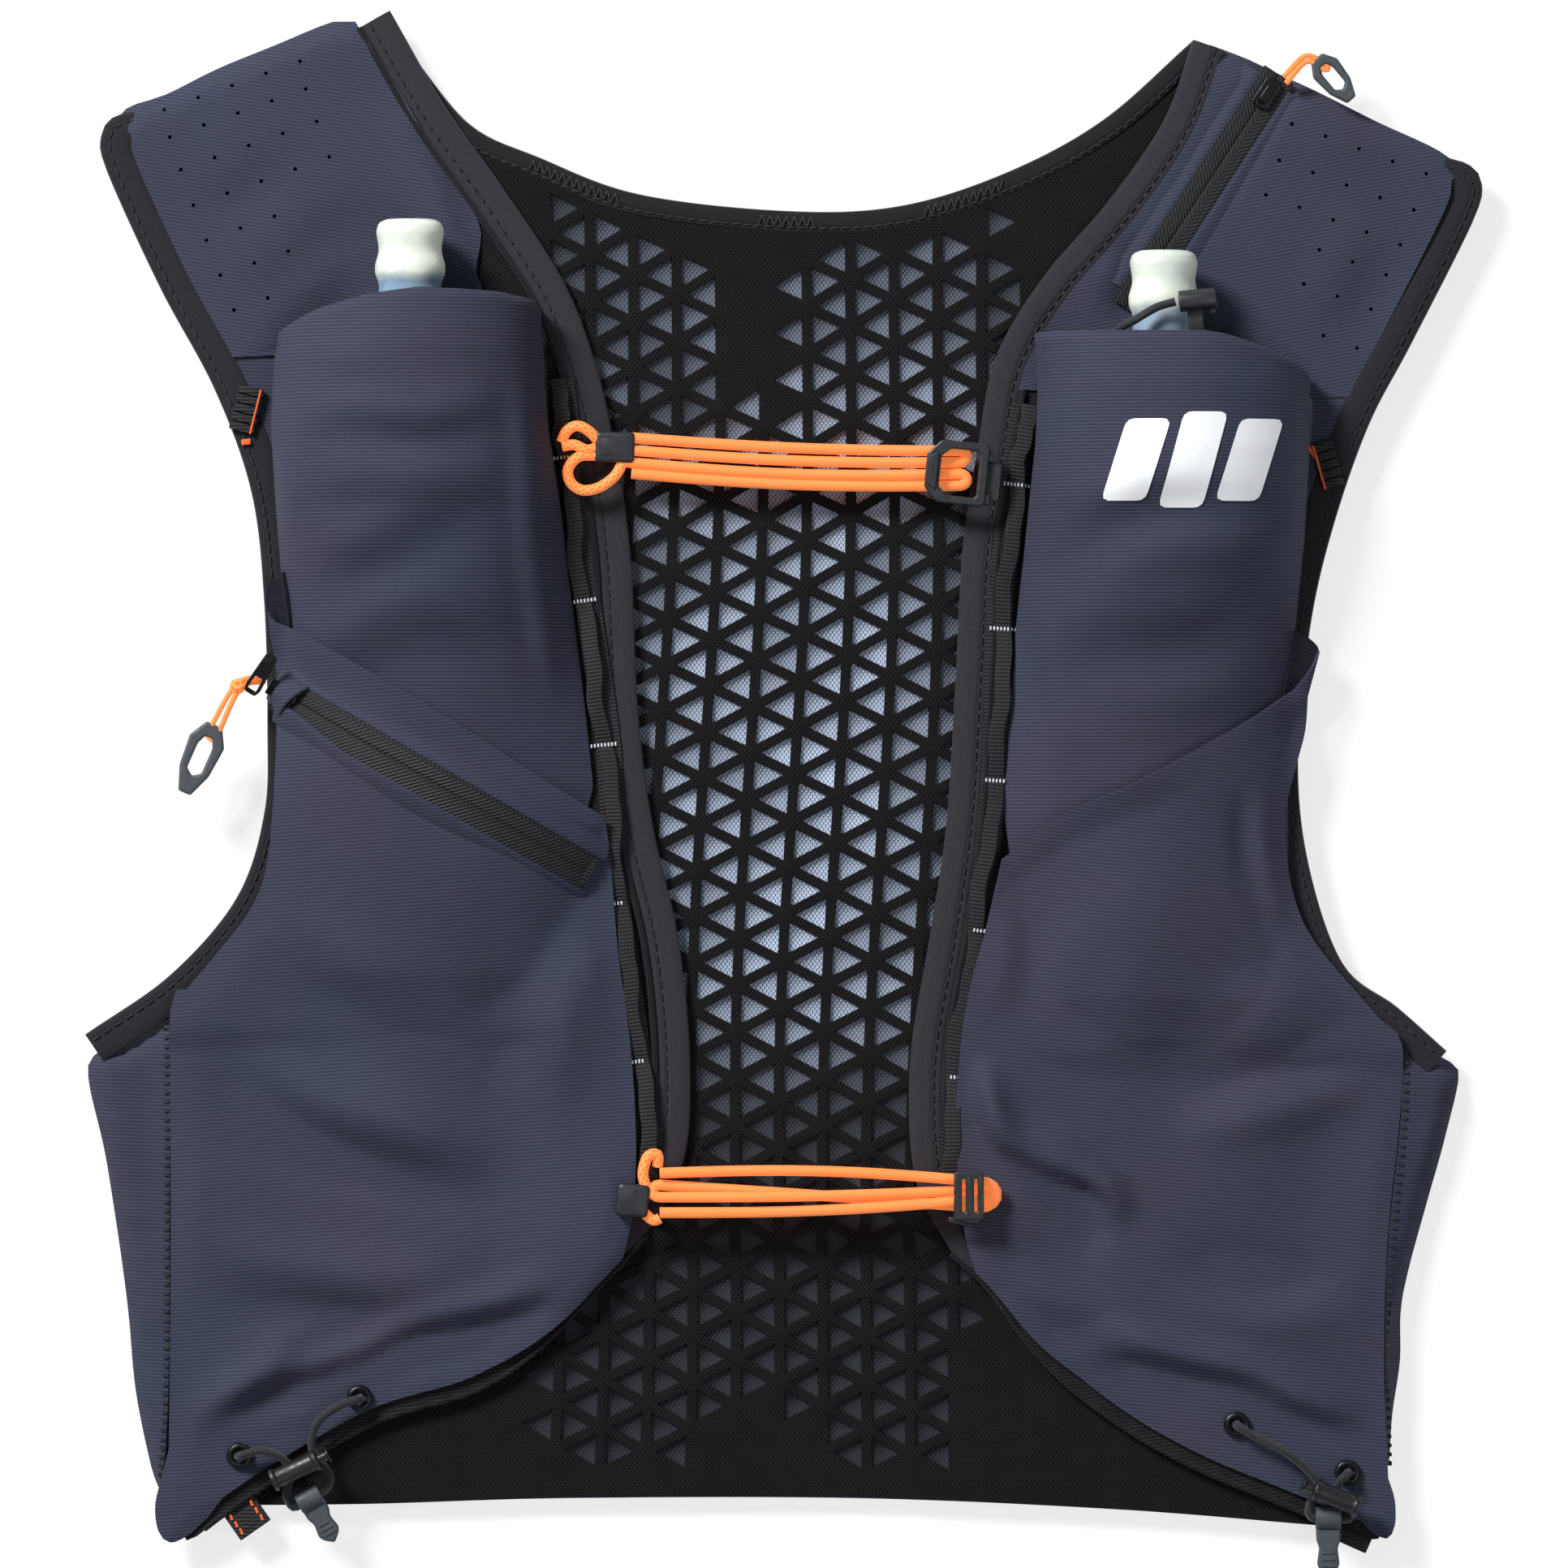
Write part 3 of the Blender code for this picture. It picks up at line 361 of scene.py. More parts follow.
def valve_silicone(name, line_y):
    """Milky silicone, bluer and clearer below the line that the drink reaches."""
    recipe = Recipe(name, 0.32, specular=0.5)
    recipe.set("Transmission Weight", 0.12)
    recipe.set("Subsurface Weight", 0.4)
    recipe.set("Subsurface Radius", (0.006, 0.006, 0.005))
    split = recipe.node("ShaderNodeSeparateXYZ")
    recipe.link(recipe.where(), split.inputs[0])
    wobble = recipe.maths("MULTIPLY", recipe.noise(120, 2), 0.006)
    filled = recipe.ranged(recipe.maths("ADD", split.outputs[1], wobble), line_y + 0.0045, line_y + 0.001)
    streak = recipe.ranged(recipe.noise(60, 3), 0.3, 0.7)
    wet = recipe.mixed(streak, rgb(120, 150, 180), rgb(160, 182, 202))
    dry = recipe.mixed(streak, rgb(216, 226, 216), rgb(243, 247, 234))
    recipe.colour(recipe.mixed(filled, dry, wet))
    recipe.normal(recipe.bump(recipe.noise(130, 3), 0.12, 0.4))
    return recipe.material


def liner_fabric(name):
    recipe = Recipe(name, 0.7, sheen=0.1, specular=0.3)
    weave = recipe.maths("MULTIPLY", recipe.waves(0.5, "X", recipe.where()),
                         recipe.waves(0.5, "Y", recipe.where()))
    recipe.colour(recipe.mixed(weave, rgb(150, 165, 190), rgb(190, 200, 216)))
    recipe.normal(recipe.bump(weave, 0.4, 0.1))
    return recipe.material


def thread_finish(name, colour):
    recipe = Recipe(name, 0.7, sheen=0.2, specular=0.3)
    twist = recipe.waves(0.35, "DIAGONAL", recipe.where())
    recipe.colour(recipe.mixed(twist, tuple(c * 0.6 for c in colour[:3]) + (1,), colour))
    recipe.normal(recipe.bump(twist, 0.5, 0.05))
    return recipe.material


def reflective_print(name):
    recipe = Recipe(name, 0.5, specular=0.5)
    beads = recipe.noise(3000, 1)
    recipe.colour(recipe.mixed(beads, rgb(225, 228, 234), rgb(250, 251, 255)))
    recipe.normal(recipe.bump(beads, 0.2, 0.04))
    return recipe.material


FABRIC_UPPER_LEFT = ribbed_fabric("shell_upper_left", 8)
FABRIC_UPPER_RIGHT = ribbed_fabric("shell_upper_right", -10)
FABRIC_FLASK = ribbed_fabric("shell_flask", 0)
FABRIC_LOWER_LEFT = ribbed_fabric("shell_lower_left", -4)
FABRIC_LOWER_RIGHT = ribbed_fabric("shell_lower_right", 5)
FABRIC_SIDE = ribbed_fabric("shell_side", 2, 0.95)
# The inside of the pocket is the shell fabric darkened to 0.22 as painted shade.
FABRIC_INSIDE_SHADE = ribbed_fabric("shell_inside_painted_shade", 20, 0.22)
# The near-black hole colours are painted shade of what lies under each net; the back net's last colour is
# painted light on the liner seen through its windows.
NET_BACK = net_fabric("net_back", rgb(31, 29, 34), rgb(4, 4, 5), rgb(178, 191, 214), size=0.41)
NET_PLAIN = net_fabric("net_plain", rgb(33, 31, 35), rgb(5, 5, 6), None, 12, 1.1, 0.8)
NET_FRONT = net_fabric("net_front", rgb(42, 41, 46), rgb(5, 5, 6), None, 40, 0.95, 0.7, 0.33)
LINER = liner_fabric("liner")
BINDING = knitted_binding("binding", rgb(34, 34, 39), rgb(56, 55, 61))
BINDING_DARK = knitted_binding("binding_dark", rgb(20, 20, 23), rgb(38, 37, 41))
BINDING_ARM = knitted_binding("binding_arm", rgb(25, 25, 29), rgb(45, 45, 51))
WEBBING = tape("webbing", rgb(14, 14, 16), rgb(52, 52, 56), 1.0, 0.8, 0.3)
ZIP_TAPE = herringbone("zip_tape", rgb(6, 6, 8), rgb(37, 38, 43))
STITCH_BLACK = thread_finish("stitch_black", rgb(30, 30, 33))
STITCH_WHITE = thread_finish("stitch_white", rgb(232, 236, 242))
STITCH_ORANGE = thread_finish("stitch_orange", rgb(255, 110, 45))
STITCH_GREY = thread_finish("stitch_grey", rgb(44, 45, 51))
# The orange bungee emits a painted glow of 0.42 in its paler colour.
ORANGE = braid("bungee_orange", rgb(252, 92, 28), rgb(255, 150, 82), 1.3, 0.05, 0.42)
BLACK_CORD = braid("cord_black", rgb(14, 15, 17), rgb(46, 49, 53), 1.1)
PLASTIC = moulded("hardware_dark", rgb(33, 35, 39), rgb(52, 55, 60))
LOCK_BLACK = moulded("lock_black", rgb(17, 19, 23), rgb(34, 37, 43), 0.42)
RUBBER = moulded("rubber_grey", rgb(60, 66, 72), rgb(78, 84, 90), 0.55)
PAINTED_METAL = moulded("painted_metal", rgb(26, 28, 30), rgb(70, 73, 77), 0.32, 0.6)
STEEL = moulded("spring_steel", rgb(165, 168, 172), rgb(205, 207, 210), 0.28, 1.0)
FILM = film("flask_film", rgb(150, 178, 205), rgb(205, 218, 232), 0.45)
CAP = film("flask_cap", rgb(122, 152, 186), rgb(168, 190, 214), 0.25, 0.35)
VALVES = {"left": valve_silicone("valve_left", 0.1385), "right": valve_silicone("valve_right", 0.1295)}
PRINT = reflective_print("reflective_print")


# Path and mesh helpers.


def smooth(points, step=2.5):
    """A curve through the points, with a point about every step along it."""
    points = [Vector(point) for point in points]
    guide = [2 * points[0] - points[1], *points, 2 * points[-1] - points[-2]]
    path = []
    for before, start, end, after in zip(guide, guide[1:], guide[2:], guide[3:]):
        count = max(1, round((end - start).length / step))
        for index in range(count):
            t = index / count
            path.append(0.5 * (2 * start + (end - before) * t
                               + (2 * before - 5 * start + 4 * end - after) * t ** 2
                               + (3 * start - before - 3 * end + after) * t ** 3))
    path.append(points[-1])
    return path


def resampled(path, step):
    """The path with its points evenly spaced, about a step apart."""
    lengths = np.concatenate([[0], np.cumsum([(b - a).length for a, b in zip(path, path[1:])])])
    count = max(2, round(lengths[-1] / step) + 1)
    targets = np.linspace(0, lengths[-1], count)
    columns = [np.interp(targets, lengths, [p[i] for p in path]) for i in range(len(path[0]))]
    return [Vector(values) for values in zip(*columns)]


def offset(path, distance):
    """The path moved sideways, to its left where distance is positive."""
    moved = []
    for index, point in enumerate(path):
        ahead = path[min(index + 1, len(path) - 1)]
        behind = path[max(index - 1, 0)]
        along = (ahead - behind).normalized()
        moved.append(point + distance * Vector((-along.y, along.x)))
    return moved


def above(path, y):
    return [point for point in path if point.y > y]


def below(path, y):
    return [point for point in path if point.y < y]


def crossing(path, y):
    """Where the path crosses the height y on the plan."""
    for a, b in zip(path, path[1:]):
        if (a.y - y) * (b.y - y) <= 0 and a.y != b.y:
            return a + (b - a) * (y - a.y) / (b.y - a.y)
    return path[-1]


def distance_to(path, x, y):
    """Distance on the plan from each point to the path, and the side: positive to the path's left."""
    best = np.full(np.shape(x), 1e9)
    side = np.ones(np.shape(x))
    for a, b in zip(path, path[1:]):
        dx, dy = b.x - a.x, b.y - a.y
        t = np.clip(((x - a.x) * dx + (y - a.y) * dy) / (dx * dx + dy * dy), 0, 1)
        gap = np.hypot(x - a.x - t * dx, y - a.y - t * dy)
        nearer = gap < best
        best = np.where(nearer, gap, best)
        side = np.where(nearer, np.sign(dx * (y - a.y) - dy * (x - a.x)), side)
    return best, side


class Builder:
    """Gathers the vertices and faces of one piece."""

    def __init__(self):
        self.points = []
        self.faces = []
        self.slots = []
        self.places = []

    def add(self, points, faces, slot=0, places=None):
        first = len(self.points)
        self.points += [tuple(p) for p in points]
        self.places += list(places) if places else [(p[0], p[1]) for p in points]
        for face in faces:
            self.faces.append([first + i for i in face])
            self.slots.append(slot)

    def object(self, name, materials, body, replaces=(), sharp=40):
        data = bpy.data.meshes.new(name)
        data.from_pydata([(x * MM, y * MM, z * MM) for x, y, z in self.points], [], self.faces)
        for material in materials:
            data.materials.append(material)
        data.polygons.foreach_set("material_index", self.slots)
        layer = data.uv_layers.new(name="UVMap")
        corners = np.empty(len(data.loops), np.int32)
        data.loops.foreach_get("vertex_index", corners)
        places = np.array(self.places, np.float32)[corners] * MM
        layer.data.foreach_set("uv", places.ravel())
        data.validate()
        shade(data, sharp)
        return place_piece(name, data, body, replaces)


def shade(data, sharp):
    shape = bmesh.new()
    shape.from_mesh(data)
    bmesh.ops.recalc_face_normals(shape, faces=shape.faces)
    limit = math.radians(sharp)
    for face in shape.faces:
        face.smooth = True
    for edge in shape.edges:
        if len(edge.link_faces) == 2 and edge.calc_face_angle(0) > limit:
            edge.smooth = False
    shape.to_mesh(data)
    shape.free()


def place_piece(name, data, body, replaces=()):
    obj = bpy.data.objects.new(name, data)
    SCENE.collection.objects.link(obj)
    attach(obj, body)
    if replaces:
        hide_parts(*replaces)
    return obj


def bake(obj):
    """Applies the object's modifiers."""
    bpy.context.view_layer.update()
    graph = bpy.context.evaluated_depsgraph_get()
    data = bpy.data.meshes.new_from_object(obj.evaluated_get(graph))
    obj.modifiers.clear()
    obj.data = data
    return obj


def thicken(obj, thickness, rim=True, offset_side=-1.0):
    solid = obj.modifiers.new("Thickness", "SOLIDIFY")
    solid.thickness = thickness * MM
    solid.offset = offset_side
    solid.use_rim = rim
    return obj


def add_sweep(builder, path, section, slot=0, up=None, closed=False, caps=True, start_v=0.0):
    """Sweeps a closed section of (side, height) points along the path. Side is to the path's left."""
    rings = len(path)
    count = len(section(0) if callable(section) else section)
    points, places = [], []
    along = start_v
    for index, point in enumerate(path):
        if closed:
            ahead, behind = path[(index + 1) % rings], path[index - 1]
        else:
            ahead, behind = path[min(index + 1, rings - 1)], path[max(index - 1, 0)]
        way = (ahead - behind).normalized()
        if len(way) == 2:
            way = Vector((way.x, way.y, 0))
        rise = (up(index) if callable(up) else up) or Vector((0, 0, 1))
        side = rise.cross(way).normalized()
        lift = way.cross(side).normalized()
        if index:
            along += (path[index] - path[index - 1]).length
        shape = section(index) if callable(section) else section
        base = Vector(point) if len(point) == 3 else Vector((point.x, point.y, 0))
        around = 0.0
        for corner, (s, h) in enumerate(shape):
            if corner:
                around += math.dist(shape[corner], shape[corner - 1])
            points.append(base + side * s + lift * h)
            places.append((around, along))
    faces = []
    for ring in range(rings if closed else rings - 1):
        for corner in range(count):
            a, b = ring * count + corner, ring * count + (corner + 1) % count
            c, d = ((ring + 1) % rings) * count + (corner + 1) % count, ((ring + 1) % rings) * count + corner
            faces.append((a, b, c, d))
    if caps and not closed:
        faces.append(tuple(range(count))[::-1])
        faces.append(tuple(range((rings - 1) * count, rings * count)))
    builder.add(points, faces, slot, places)


def round_section(diameter, count=12):
    return [(diameter / 2 * math.cos(2 * math.pi * i / count),
             diameter / 2 * math.sin(2 * math.pi * i / count))
            for i in range(count)]


def crowned_section(width, low, high, crown=0.5, lip=0.5, grooves=()):
    """A soft flat tape from side 0 to side width, puffed a little in the middle."""
    top = []
    for index in range(13):
        s = lip * 0.3 + (width - lip * 0.6) * index / 12
        across = 2 * index / 12 - 1
        dip = sum(depth * math.exp(-((s - place) / 0.45) ** 2) for place, depth in grooves)
        top.append((s, high - lip * 0.5 + crown * (1 - abs(across) ** 3) - dip))
    return [(0, (low + high) / 2)] + top + [(width, (low + high) / 2), (width - lip * 0.4, low),
                                            (lip * 0.4, low)]


def add_block(builder, centre, along, size, slot=0, up=Vector((0, 0, 1)), round_off=0.25):
    """A small pillow: a bevelled block with its length along a direction."""
    along = Vector(along).normalized()
    up = Vector(up)
    side = up.cross(along).normalized()
    up = along.cross(side)
    length, width, height = size
    points = []
    rings = ((-0.5, 0.55, 0.25), (-0.5 + round_off * 0.4, 1.0, 1.0), (0.5 - round_off * 0.4, 1.0, 1.0),
             (0.5, 0.55, 0.25))
    for place, wide, tall in rings:
        for s, h in ((-0.5, 0), (-0.36, 0.72), (0, 1.0), (0.36, 0.72), (0.5, 0)):
            points.append(Vector(centre) + along * (place * length) + side * (s * width * wide)
                          + up * (h * height * tall))
    faces = []
    for ring in range(3):
        for corner in range(5):
            a, b = ring * 5 + corner, ring * 5 + (corner + 1) % 5
            faces.append((a, b, b + 5, a + 5))
    faces += [(4, 3, 2, 1, 0), (15, 16, 17, 18, 19)]
    builder.add(points, faces, slot)


def add_stitches(builder, path, height, length=2.3, gap=1.2, width=0.5, tall=0.35, slot=0):
    """A row of stitches along a path on the plan; height is a number or a function of x and y."""
    path = resampled(path, 0.5)
    pitch = max(2, round((length + gap) / 0.5))
    run = max(1, round(length / 0.5))
    for first in range(0, len(path) - run, pitch):
        a, b = path[first], path[first + run]
        if callable(height):
            za, zb = float(height(a.x, a.y)), float(height(b.x, b.y))
        else:
            za = zb = height
        start, end = Vector((a.x, a.y, za)), Vector((b.x, b.y, zb))
        add_block(builder, (start + end) / 2 - Vector((0, 0, 0.05)), end - start,
                  ((end - start).length, width, tall), slot)


def sheet_object(name, outline, height, spacing, materials, body, replaces=(), thickness=1.0, holes=(),
                 extra=None, face_slot=None, sharp=50):
    """A dense fabric sheet over the outline, its top at height(x, y), with any punched holes cut through."""
    rim = outline
    xs, ys = np.array([p.x for p in rim]), np.array([p.y for p in rim])
    rows = int((ys.max() - ys.min()) / (spacing * 0.87)) + 2
    columns = int((xs.max() - xs.min()) / spacing) + 2
    gx = np.array([xs.min() + (c + 0.5 * (r % 2)) * spacing for r in range(rows) for c in range(columns)])
    gy = np.array([ys.min() + r * spacing * 0.87 for r in range(rows) for c in range(columns)])
    keep = within(gx, gy, rim)
    closed = rim + [rim[0]]
    gap, _ = distance_to(closed, gx, gy)
    keep &= gap > 0.55 * spacing
    points = [Vector((p.x, p.y)) for p in rim]
    edges = [(i, (i + 1) % len(rim)) for i in range(len(rim))]
    for hx, hy, radius in holes:
        keep &= np.hypot(gx - hx, gy - hy) > radius + 0.5
        first = len(points)
        points += [Vector((hx + radius * math.cos(math.pi * i / 5), hy + radius * math.sin(math.pi * i / 5)))
                   for i in range(10)]
        edges += [(first + i, first + (i + 1) % 10) for i in range(10)]
    points += [Vector((x, y)) for x, y in zip(gx[keep], gy[keep])]
    places, _, faces, *_ = delaunay_2d_cdt(points, edges, [], 1, 1e-5)
    px, py = np.array([p.x for p in places]), np.array([p.y for p in places])
    pz = height(px, py)
    kept = []
    for face in faces:
        cx, cy = sum(places[i].x for i in face) / len(face), sum(places[i].y for i in face) / len(face)
        if not any(math.hypot(cx - hx, cy - hy) < radius * 0.98 for hx, hy, radius in holes):
            kept.append(face)
    builder = Builder()
    builder.add(list(zip(px, py, pz)), kept)
    if face_slot:
        builder.slots = [face_slot(sum(places[i].x for i in f) / len(f), sum(places[i].y for i in f) / len(f))
                         for f in kept]
    if extra:
        extra(builder)
    obj = builder.object(name, materials, body, replaces, sharp)
    if obj.data.polygons[len(kept) // 2].normal.z < 0:
        obj.data.flip_normals()
    bake(thicken(obj, thickness))
    shade(obj.data, sharp)
    return obj


def within(x, y, outline):
    hit = np.zeros(np.shape(x), bool)
    for a, b in zip(outline, outline[1:] + outline[:1]):
        if a.y == b.y:
            continue
        cut = a.x + (y - a.y) * (b.x - a.x) / (b.y - a.y)
        hit ^= ((a.y > y) != (b.y > y)) & (x < cut)
    return hit


def ripple(x, y, seed, size=30.0, height=0.3):
    """A gentle unevenness of the cloth, the same each time."""
    generator = random.Random(seed)
    total = np.zeros(np.shape(x))
    for _ in range(7):
        angle = generator.uniform(0, 2 * math.pi)
        wave = generator.uniform(0.6, 1.8) * size
        phase = generator.uniform(0, 2 * math.pi)
        total = total + np.sin((x * math.cos(angle) + y * math.sin(angle)) * 2 * math.pi / wave + phase)
    return total * height / 2.6


def crease(x, y, path, height, width, valley=0.6, taper=12.0):
    """A fold along a path: a ridge, with a dip on its right-hand side, that fades at both ends."""
    path = smooth(path, 5)
    gap, side = distance_to(path, x, y)
    signed = gap * side
    fade = 1 - np.exp(-(end_distance(path, x, y) / taper) ** 2)
    return fade * height * (np.exp(-(signed / width) ** 2)
                            - valley * np.exp(-((signed + 1.7 * width) / width) ** 2))


def creased(x, y, folds):
    return sum(crease(x, y, *fold) for fold in folds)


def end_distance(path, x, y):
    """Distance along the path from the place nearest each point to the path's nearer end."""
    best, along, run = np.full(np.shape(x), 1e9), np.zeros(np.shape(x)), 0.0
    for a, b in zip(path, path[1:]):
        dx, dy = b.x - a.x, b.y - a.y
        length = math.hypot(dx, dy)
        t = np.clip(((x - a.x) * dx + (y - a.y) * dy) / length ** 2, 0, 1)
        gap = np.hypot(x - a.x - t * dx, y - a.y - t * dy)
        along = np.where(gap < best, run + t * length, along)
        best = np.minimum(best, gap)
        run += length
    return np.minimum(along, run - along)


# Edge lines of the vest, each from the shoulder down, and the heights of its layers.

LEFT_FOLD = ((-110, 213), (-124, 210), (-140, 203.5), (-156, 197), (-170, 190), (-181, 186), (-187, 178))
LEFT_ARMHOLE = ((-178.5, 184.5), (-184.2, 182.6), (-187.2, 177.6), (-185.6, 168), (-171, 136), (-156, 108),
                (-146, 80), (-142.5, 50), (-141.6, 15), (-142.5, -8), (-150, -31), (-168, -52),
                (-191.5, -68.5))
LEFT_FRONT = ((-108, 212), (-93, 186), (-76, 162), (-60, 137), (-51, 113), (-46, 90), (-42, 62), (-40, 20),
              (-36, -11), (-29, -42), (-25.8, -75), (-27.5, -103), (-38, -123))
LEFT_HEM = ((-38, -123), (-49, -135), (-66, -152), (-85, -164), (-112, -172.5), (-138, -187), (-155, -198.5),
            (-167, -208))
RIGHT_FOLD = ((113.5, 205), (128, 199.5), (146, 191), (163, 182.5), (180, 174.5), (191, 166))
RIGHT_ARMHOLE = ((181.5, 171.8), (188, 169.6), (191.2, 164.4), (188.6, 154), (172, 121), (160, 98), (150, 69),
                 (144, 42), (140.8, 8), (143.5, -21), (153, -49), (168, -61), (181.5, -73))
RIGHT_FRONT = ((112, 204), (104, 182), (89, 160), (71, 139), (58, 117), (53, 92), (49, 66), (47, 30),
               (44.5, -10), (40, -41), (34.5, -76), (36, -108), (46, -128))
RIGHT_HEM = ((46, -128), (57, -138.5), (71, -156), (92, -173), (113, -185), (137, -195), (166, -207))
NECKLINE = ((-102, 200), (-86, 181), (-67, 172), (-40, 162), (0, 157.4), (31, 158.6), (60, 167.5), (87, 182),
            (112, 204))
BACK_HEM = ((-166, -199), (-115, -198.6), (-60, -197), (20, -197), (90, -200), (141, -204), (164, -206))
LEFT_PANEL = ((-168.6, -63.5), (-180, -70.5), (-191, -76.6), (-186, -103), (-180.5, -140), (-178, -166),
              (-173.5, -188), (-171, -194))
RIGHT_PANEL = ((169.5, -70), (177, -74), (185, -78), (181.8, -95), (177, -112.5), (172, -130.5),
               (169.2, -144), (169, -158), (166.8, -173), (166, -187))
SEAM_LINES = {"left": ((-168.3, -63.5), (-168.3, -120), (-168.6, -165), (-170.5, -194)),
              "right": ((169.3, -70.5), (168.8, -92), (166.7, -112), (165.2, -130), (164.5, -157),
                        (165.2, -187))}
SIDE_CREASES = {
    "left": ((((-190, -112), (-180, -118), (-170, -116)), 1.0, 3.5, 0.7, 8),
             (((-183, -150), (-176, -146), (-169, -150)), 0.9, 4, 0.7, 8)),
    "right": ((((184, -92), (176, -98), (168, -94)), 1.0, 3.5, 0.7, 8),
              (((176, -124), (171, -128), (166, -124)), 0.9, 4, 0.7, 8)),
}
SHOULDER_SEAM_Y = {"left": 117.0, "right": 106.0}
FLASK_POCKETS = {
    "left": ((133, -138.4, -66.5, 29), (121, -139.5, -66.3, 31), (98, -140.5, -64.5, 31),
             (73, -139, -60.8, 27), (48, -137, -57.9, 20), (24, -137, -54.8, 14), (0, -137, -52.4, 10),
             (-28, -136, -60, 7.5), (-52, -128, -70, 5), (-66, -114, -86, 0.8)),
    "right": ((123, 68.5, 143.8, 29), (111, 69.5, 144, 31), (92, 68.6, 143.8, 31), (67, 66, 142.5, 27),
              (43, 63.4, 140, 20), (19, 61.6, 138, 14), (-6, 59.8, 138, 10), (-34, 64, 138, 7.5),
              (-58, 74, 130, 5), (-72, 88, 116, 0.8)),
}
BINDING_WIDTH = 9.0
NECK_BINDING_WIDTH = 6.0
SHELL_TOP = 1.4
SLEEVE_TOP = 3.0
MESH_TOP = 6.3
BASE_LOW = 6.6
BASE_TOP = 8.8
TRIM_LOW = 9.1
POCKET_BASE = 9.1
EDGES = {"left": (LEFT_FOLD, LEFT_ARMHOLE, LEFT_FRONT, LEFT_HEM),
         "right": (RIGHT_FOLD, RIGHT_ARMHOLE, RIGHT_FRONT, RIGHT_HEM)}
SIGN = {"left": 1, "right": -1}
ZIP_START = Vector((-139.0, 26.0))
ZIP_ALONG = Vector((0.865, -0.503)).normalized()
ZIP_LENGTH = 100.0
ZIP_RISE = 13.0
ZIP_END_LIFT = 2.5
ZIP_RADIUS = ((ZIP_LENGTH / 2) ** 2 + ZIP_RISE ** 2) / (2 * ZIP_RISE)
ZIP_TAPE_LIFT = 3.0
ZIP_REST = 6.0
SHOULDER_ZIP_TOP = Vector((135.0, 193.5))
SHOULDER_ZIP_ALONG = Vector((-0.5463, -0.8375)).normalized()
SHOULDER_ZIP_LENGTH = 55.0


# Heights of the pocket fabric.


def pocket_stations(side, y):
    """Left edge, right edge and rise of the flask pocket at each y."""
    table = np.array(FLASK_POCKETS[side][::-1], float)
    return [np.interp(y, table[:, 0], table[:, column]) for column in (1, 2, 3)]


def pocket_roundness(y):
    return 0.42 + 0.58 * np.clip((80 - y) / 60, 0, 1)


def pocket_rise(side, x, y):
    left, right, rise = pocket_stations(side, y)
    across = np.clip((2 * x - left - right) / (right - left), -1, 1)
    return np.where(y < FLASK_POCKETS[side][-1][0], 0, rise * (1 - across ** 2) ** pocket_roundness(y))


def zip_rise(x, y):
    """Rise of the chest fabric beside the curved zip, fading away from it."""
    along = (x - ZIP_START.x) * ZIP_ALONG.x + (y - ZIP_START.y) * ZIP_ALONG.y - ZIP_LENGTH / 2
    across = ZIP_ALONG.x * (y - ZIP_START.y) - ZIP_ALONG.y * (x - ZIP_START.x)
    reach = np.sqrt(np.maximum(0.0, ZIP_RADIUS ** 2 - along ** 2))
    rise = np.maximum(0.0, reach - ZIP_RADIUS + ZIP_RISE + ZIP_END_LIFT)
    return rise * np.exp(-(across / np.where(across > 0, 26, 48)) ** 2)


def blended(*rises):
    return sum(rise ** 6 for rise in rises) ** (1 / 6)


def soft_step(value, middle, width):
    return 0.5 + 0.5 * np.tanh((value - middle) / width)


def chest_height(side, x, y):
    """The underside of the lower pocket's fabric."""
    if side == "left":
        over_rail = 2.2 * np.clip((x + 80) / 18, 0, 1)
        return POCKET_BASE + blended(over_rail, pocket_rise(side, x, y) + 2.2 * soft_step(y, -70, 3),
                                     zip_rise(x, y))
    over_rail = 2.2 * np.clip((82 - x) / 18, 0, 1)
    return POCKET_BASE + blended(over_rail, pocket_rise(side, x, y) + 2.2 * soft_step(y, -76, 3))


# Back of the vest.


def back_outline(inset):
    """The back panel inside its neck binding, with its edge hidden under the front of the vest."""
    neck = offset(smooth(NECKLINE, 6), -NECK_BINDING_WIDTH + 1.2)
    right = smooth(((127, 190), (150, 180), (172, 168), (181, 158), (176, 140), (160, 113), (148, 84),
                    (139, 50), (135.5, 10), (138, -22), (147, -48), (162, -63), (164, -80), (164, -190)), 8)
    left = smooth(((-166, -190), (-166, -80), (-162, -56), (-145, -34), (-137.5, -10), (-136.5, 15),
                   (-138, 55), (-142, 82), (-152, 110), (-167, 138), (-178, 163), (-172, 178), (-152, 189),
                   (-122, 200)),
                  8)
    hem = smooth(BACK_HEM, 6)
    outline = neck + right + [point + Vector((0, 1)) for point in hem[::-1]] + left
    return [point - point.normalized() * inset for point in outline]


LATTICE_START = Vector((4.0, 53.7))
LATTICE_COLUMN = 12.2
LATTICE_ROW = 12.8
STRUT = 2.3
HEAVY_BAND = (-15.0, -1.0, 104.0)


def lattice_corner(column, row):
    """A corner of the triangle lattice, which leans and stretches a little with the cloth."""
    x = LATTICE_START.x + column * LATTICE_COLUMN
    y = LATTICE_START.y + (row + 0.5 * (column % 2)) * LATTICE_ROW
    lean = 0.03 * (y - 50) + 1.6 * math.sin(y / 41 + x / 60)
    return Vector((x + lean, y + 1.5 * math.sin(x / 35) + 0.05 * x * math.sin(y / 90)))


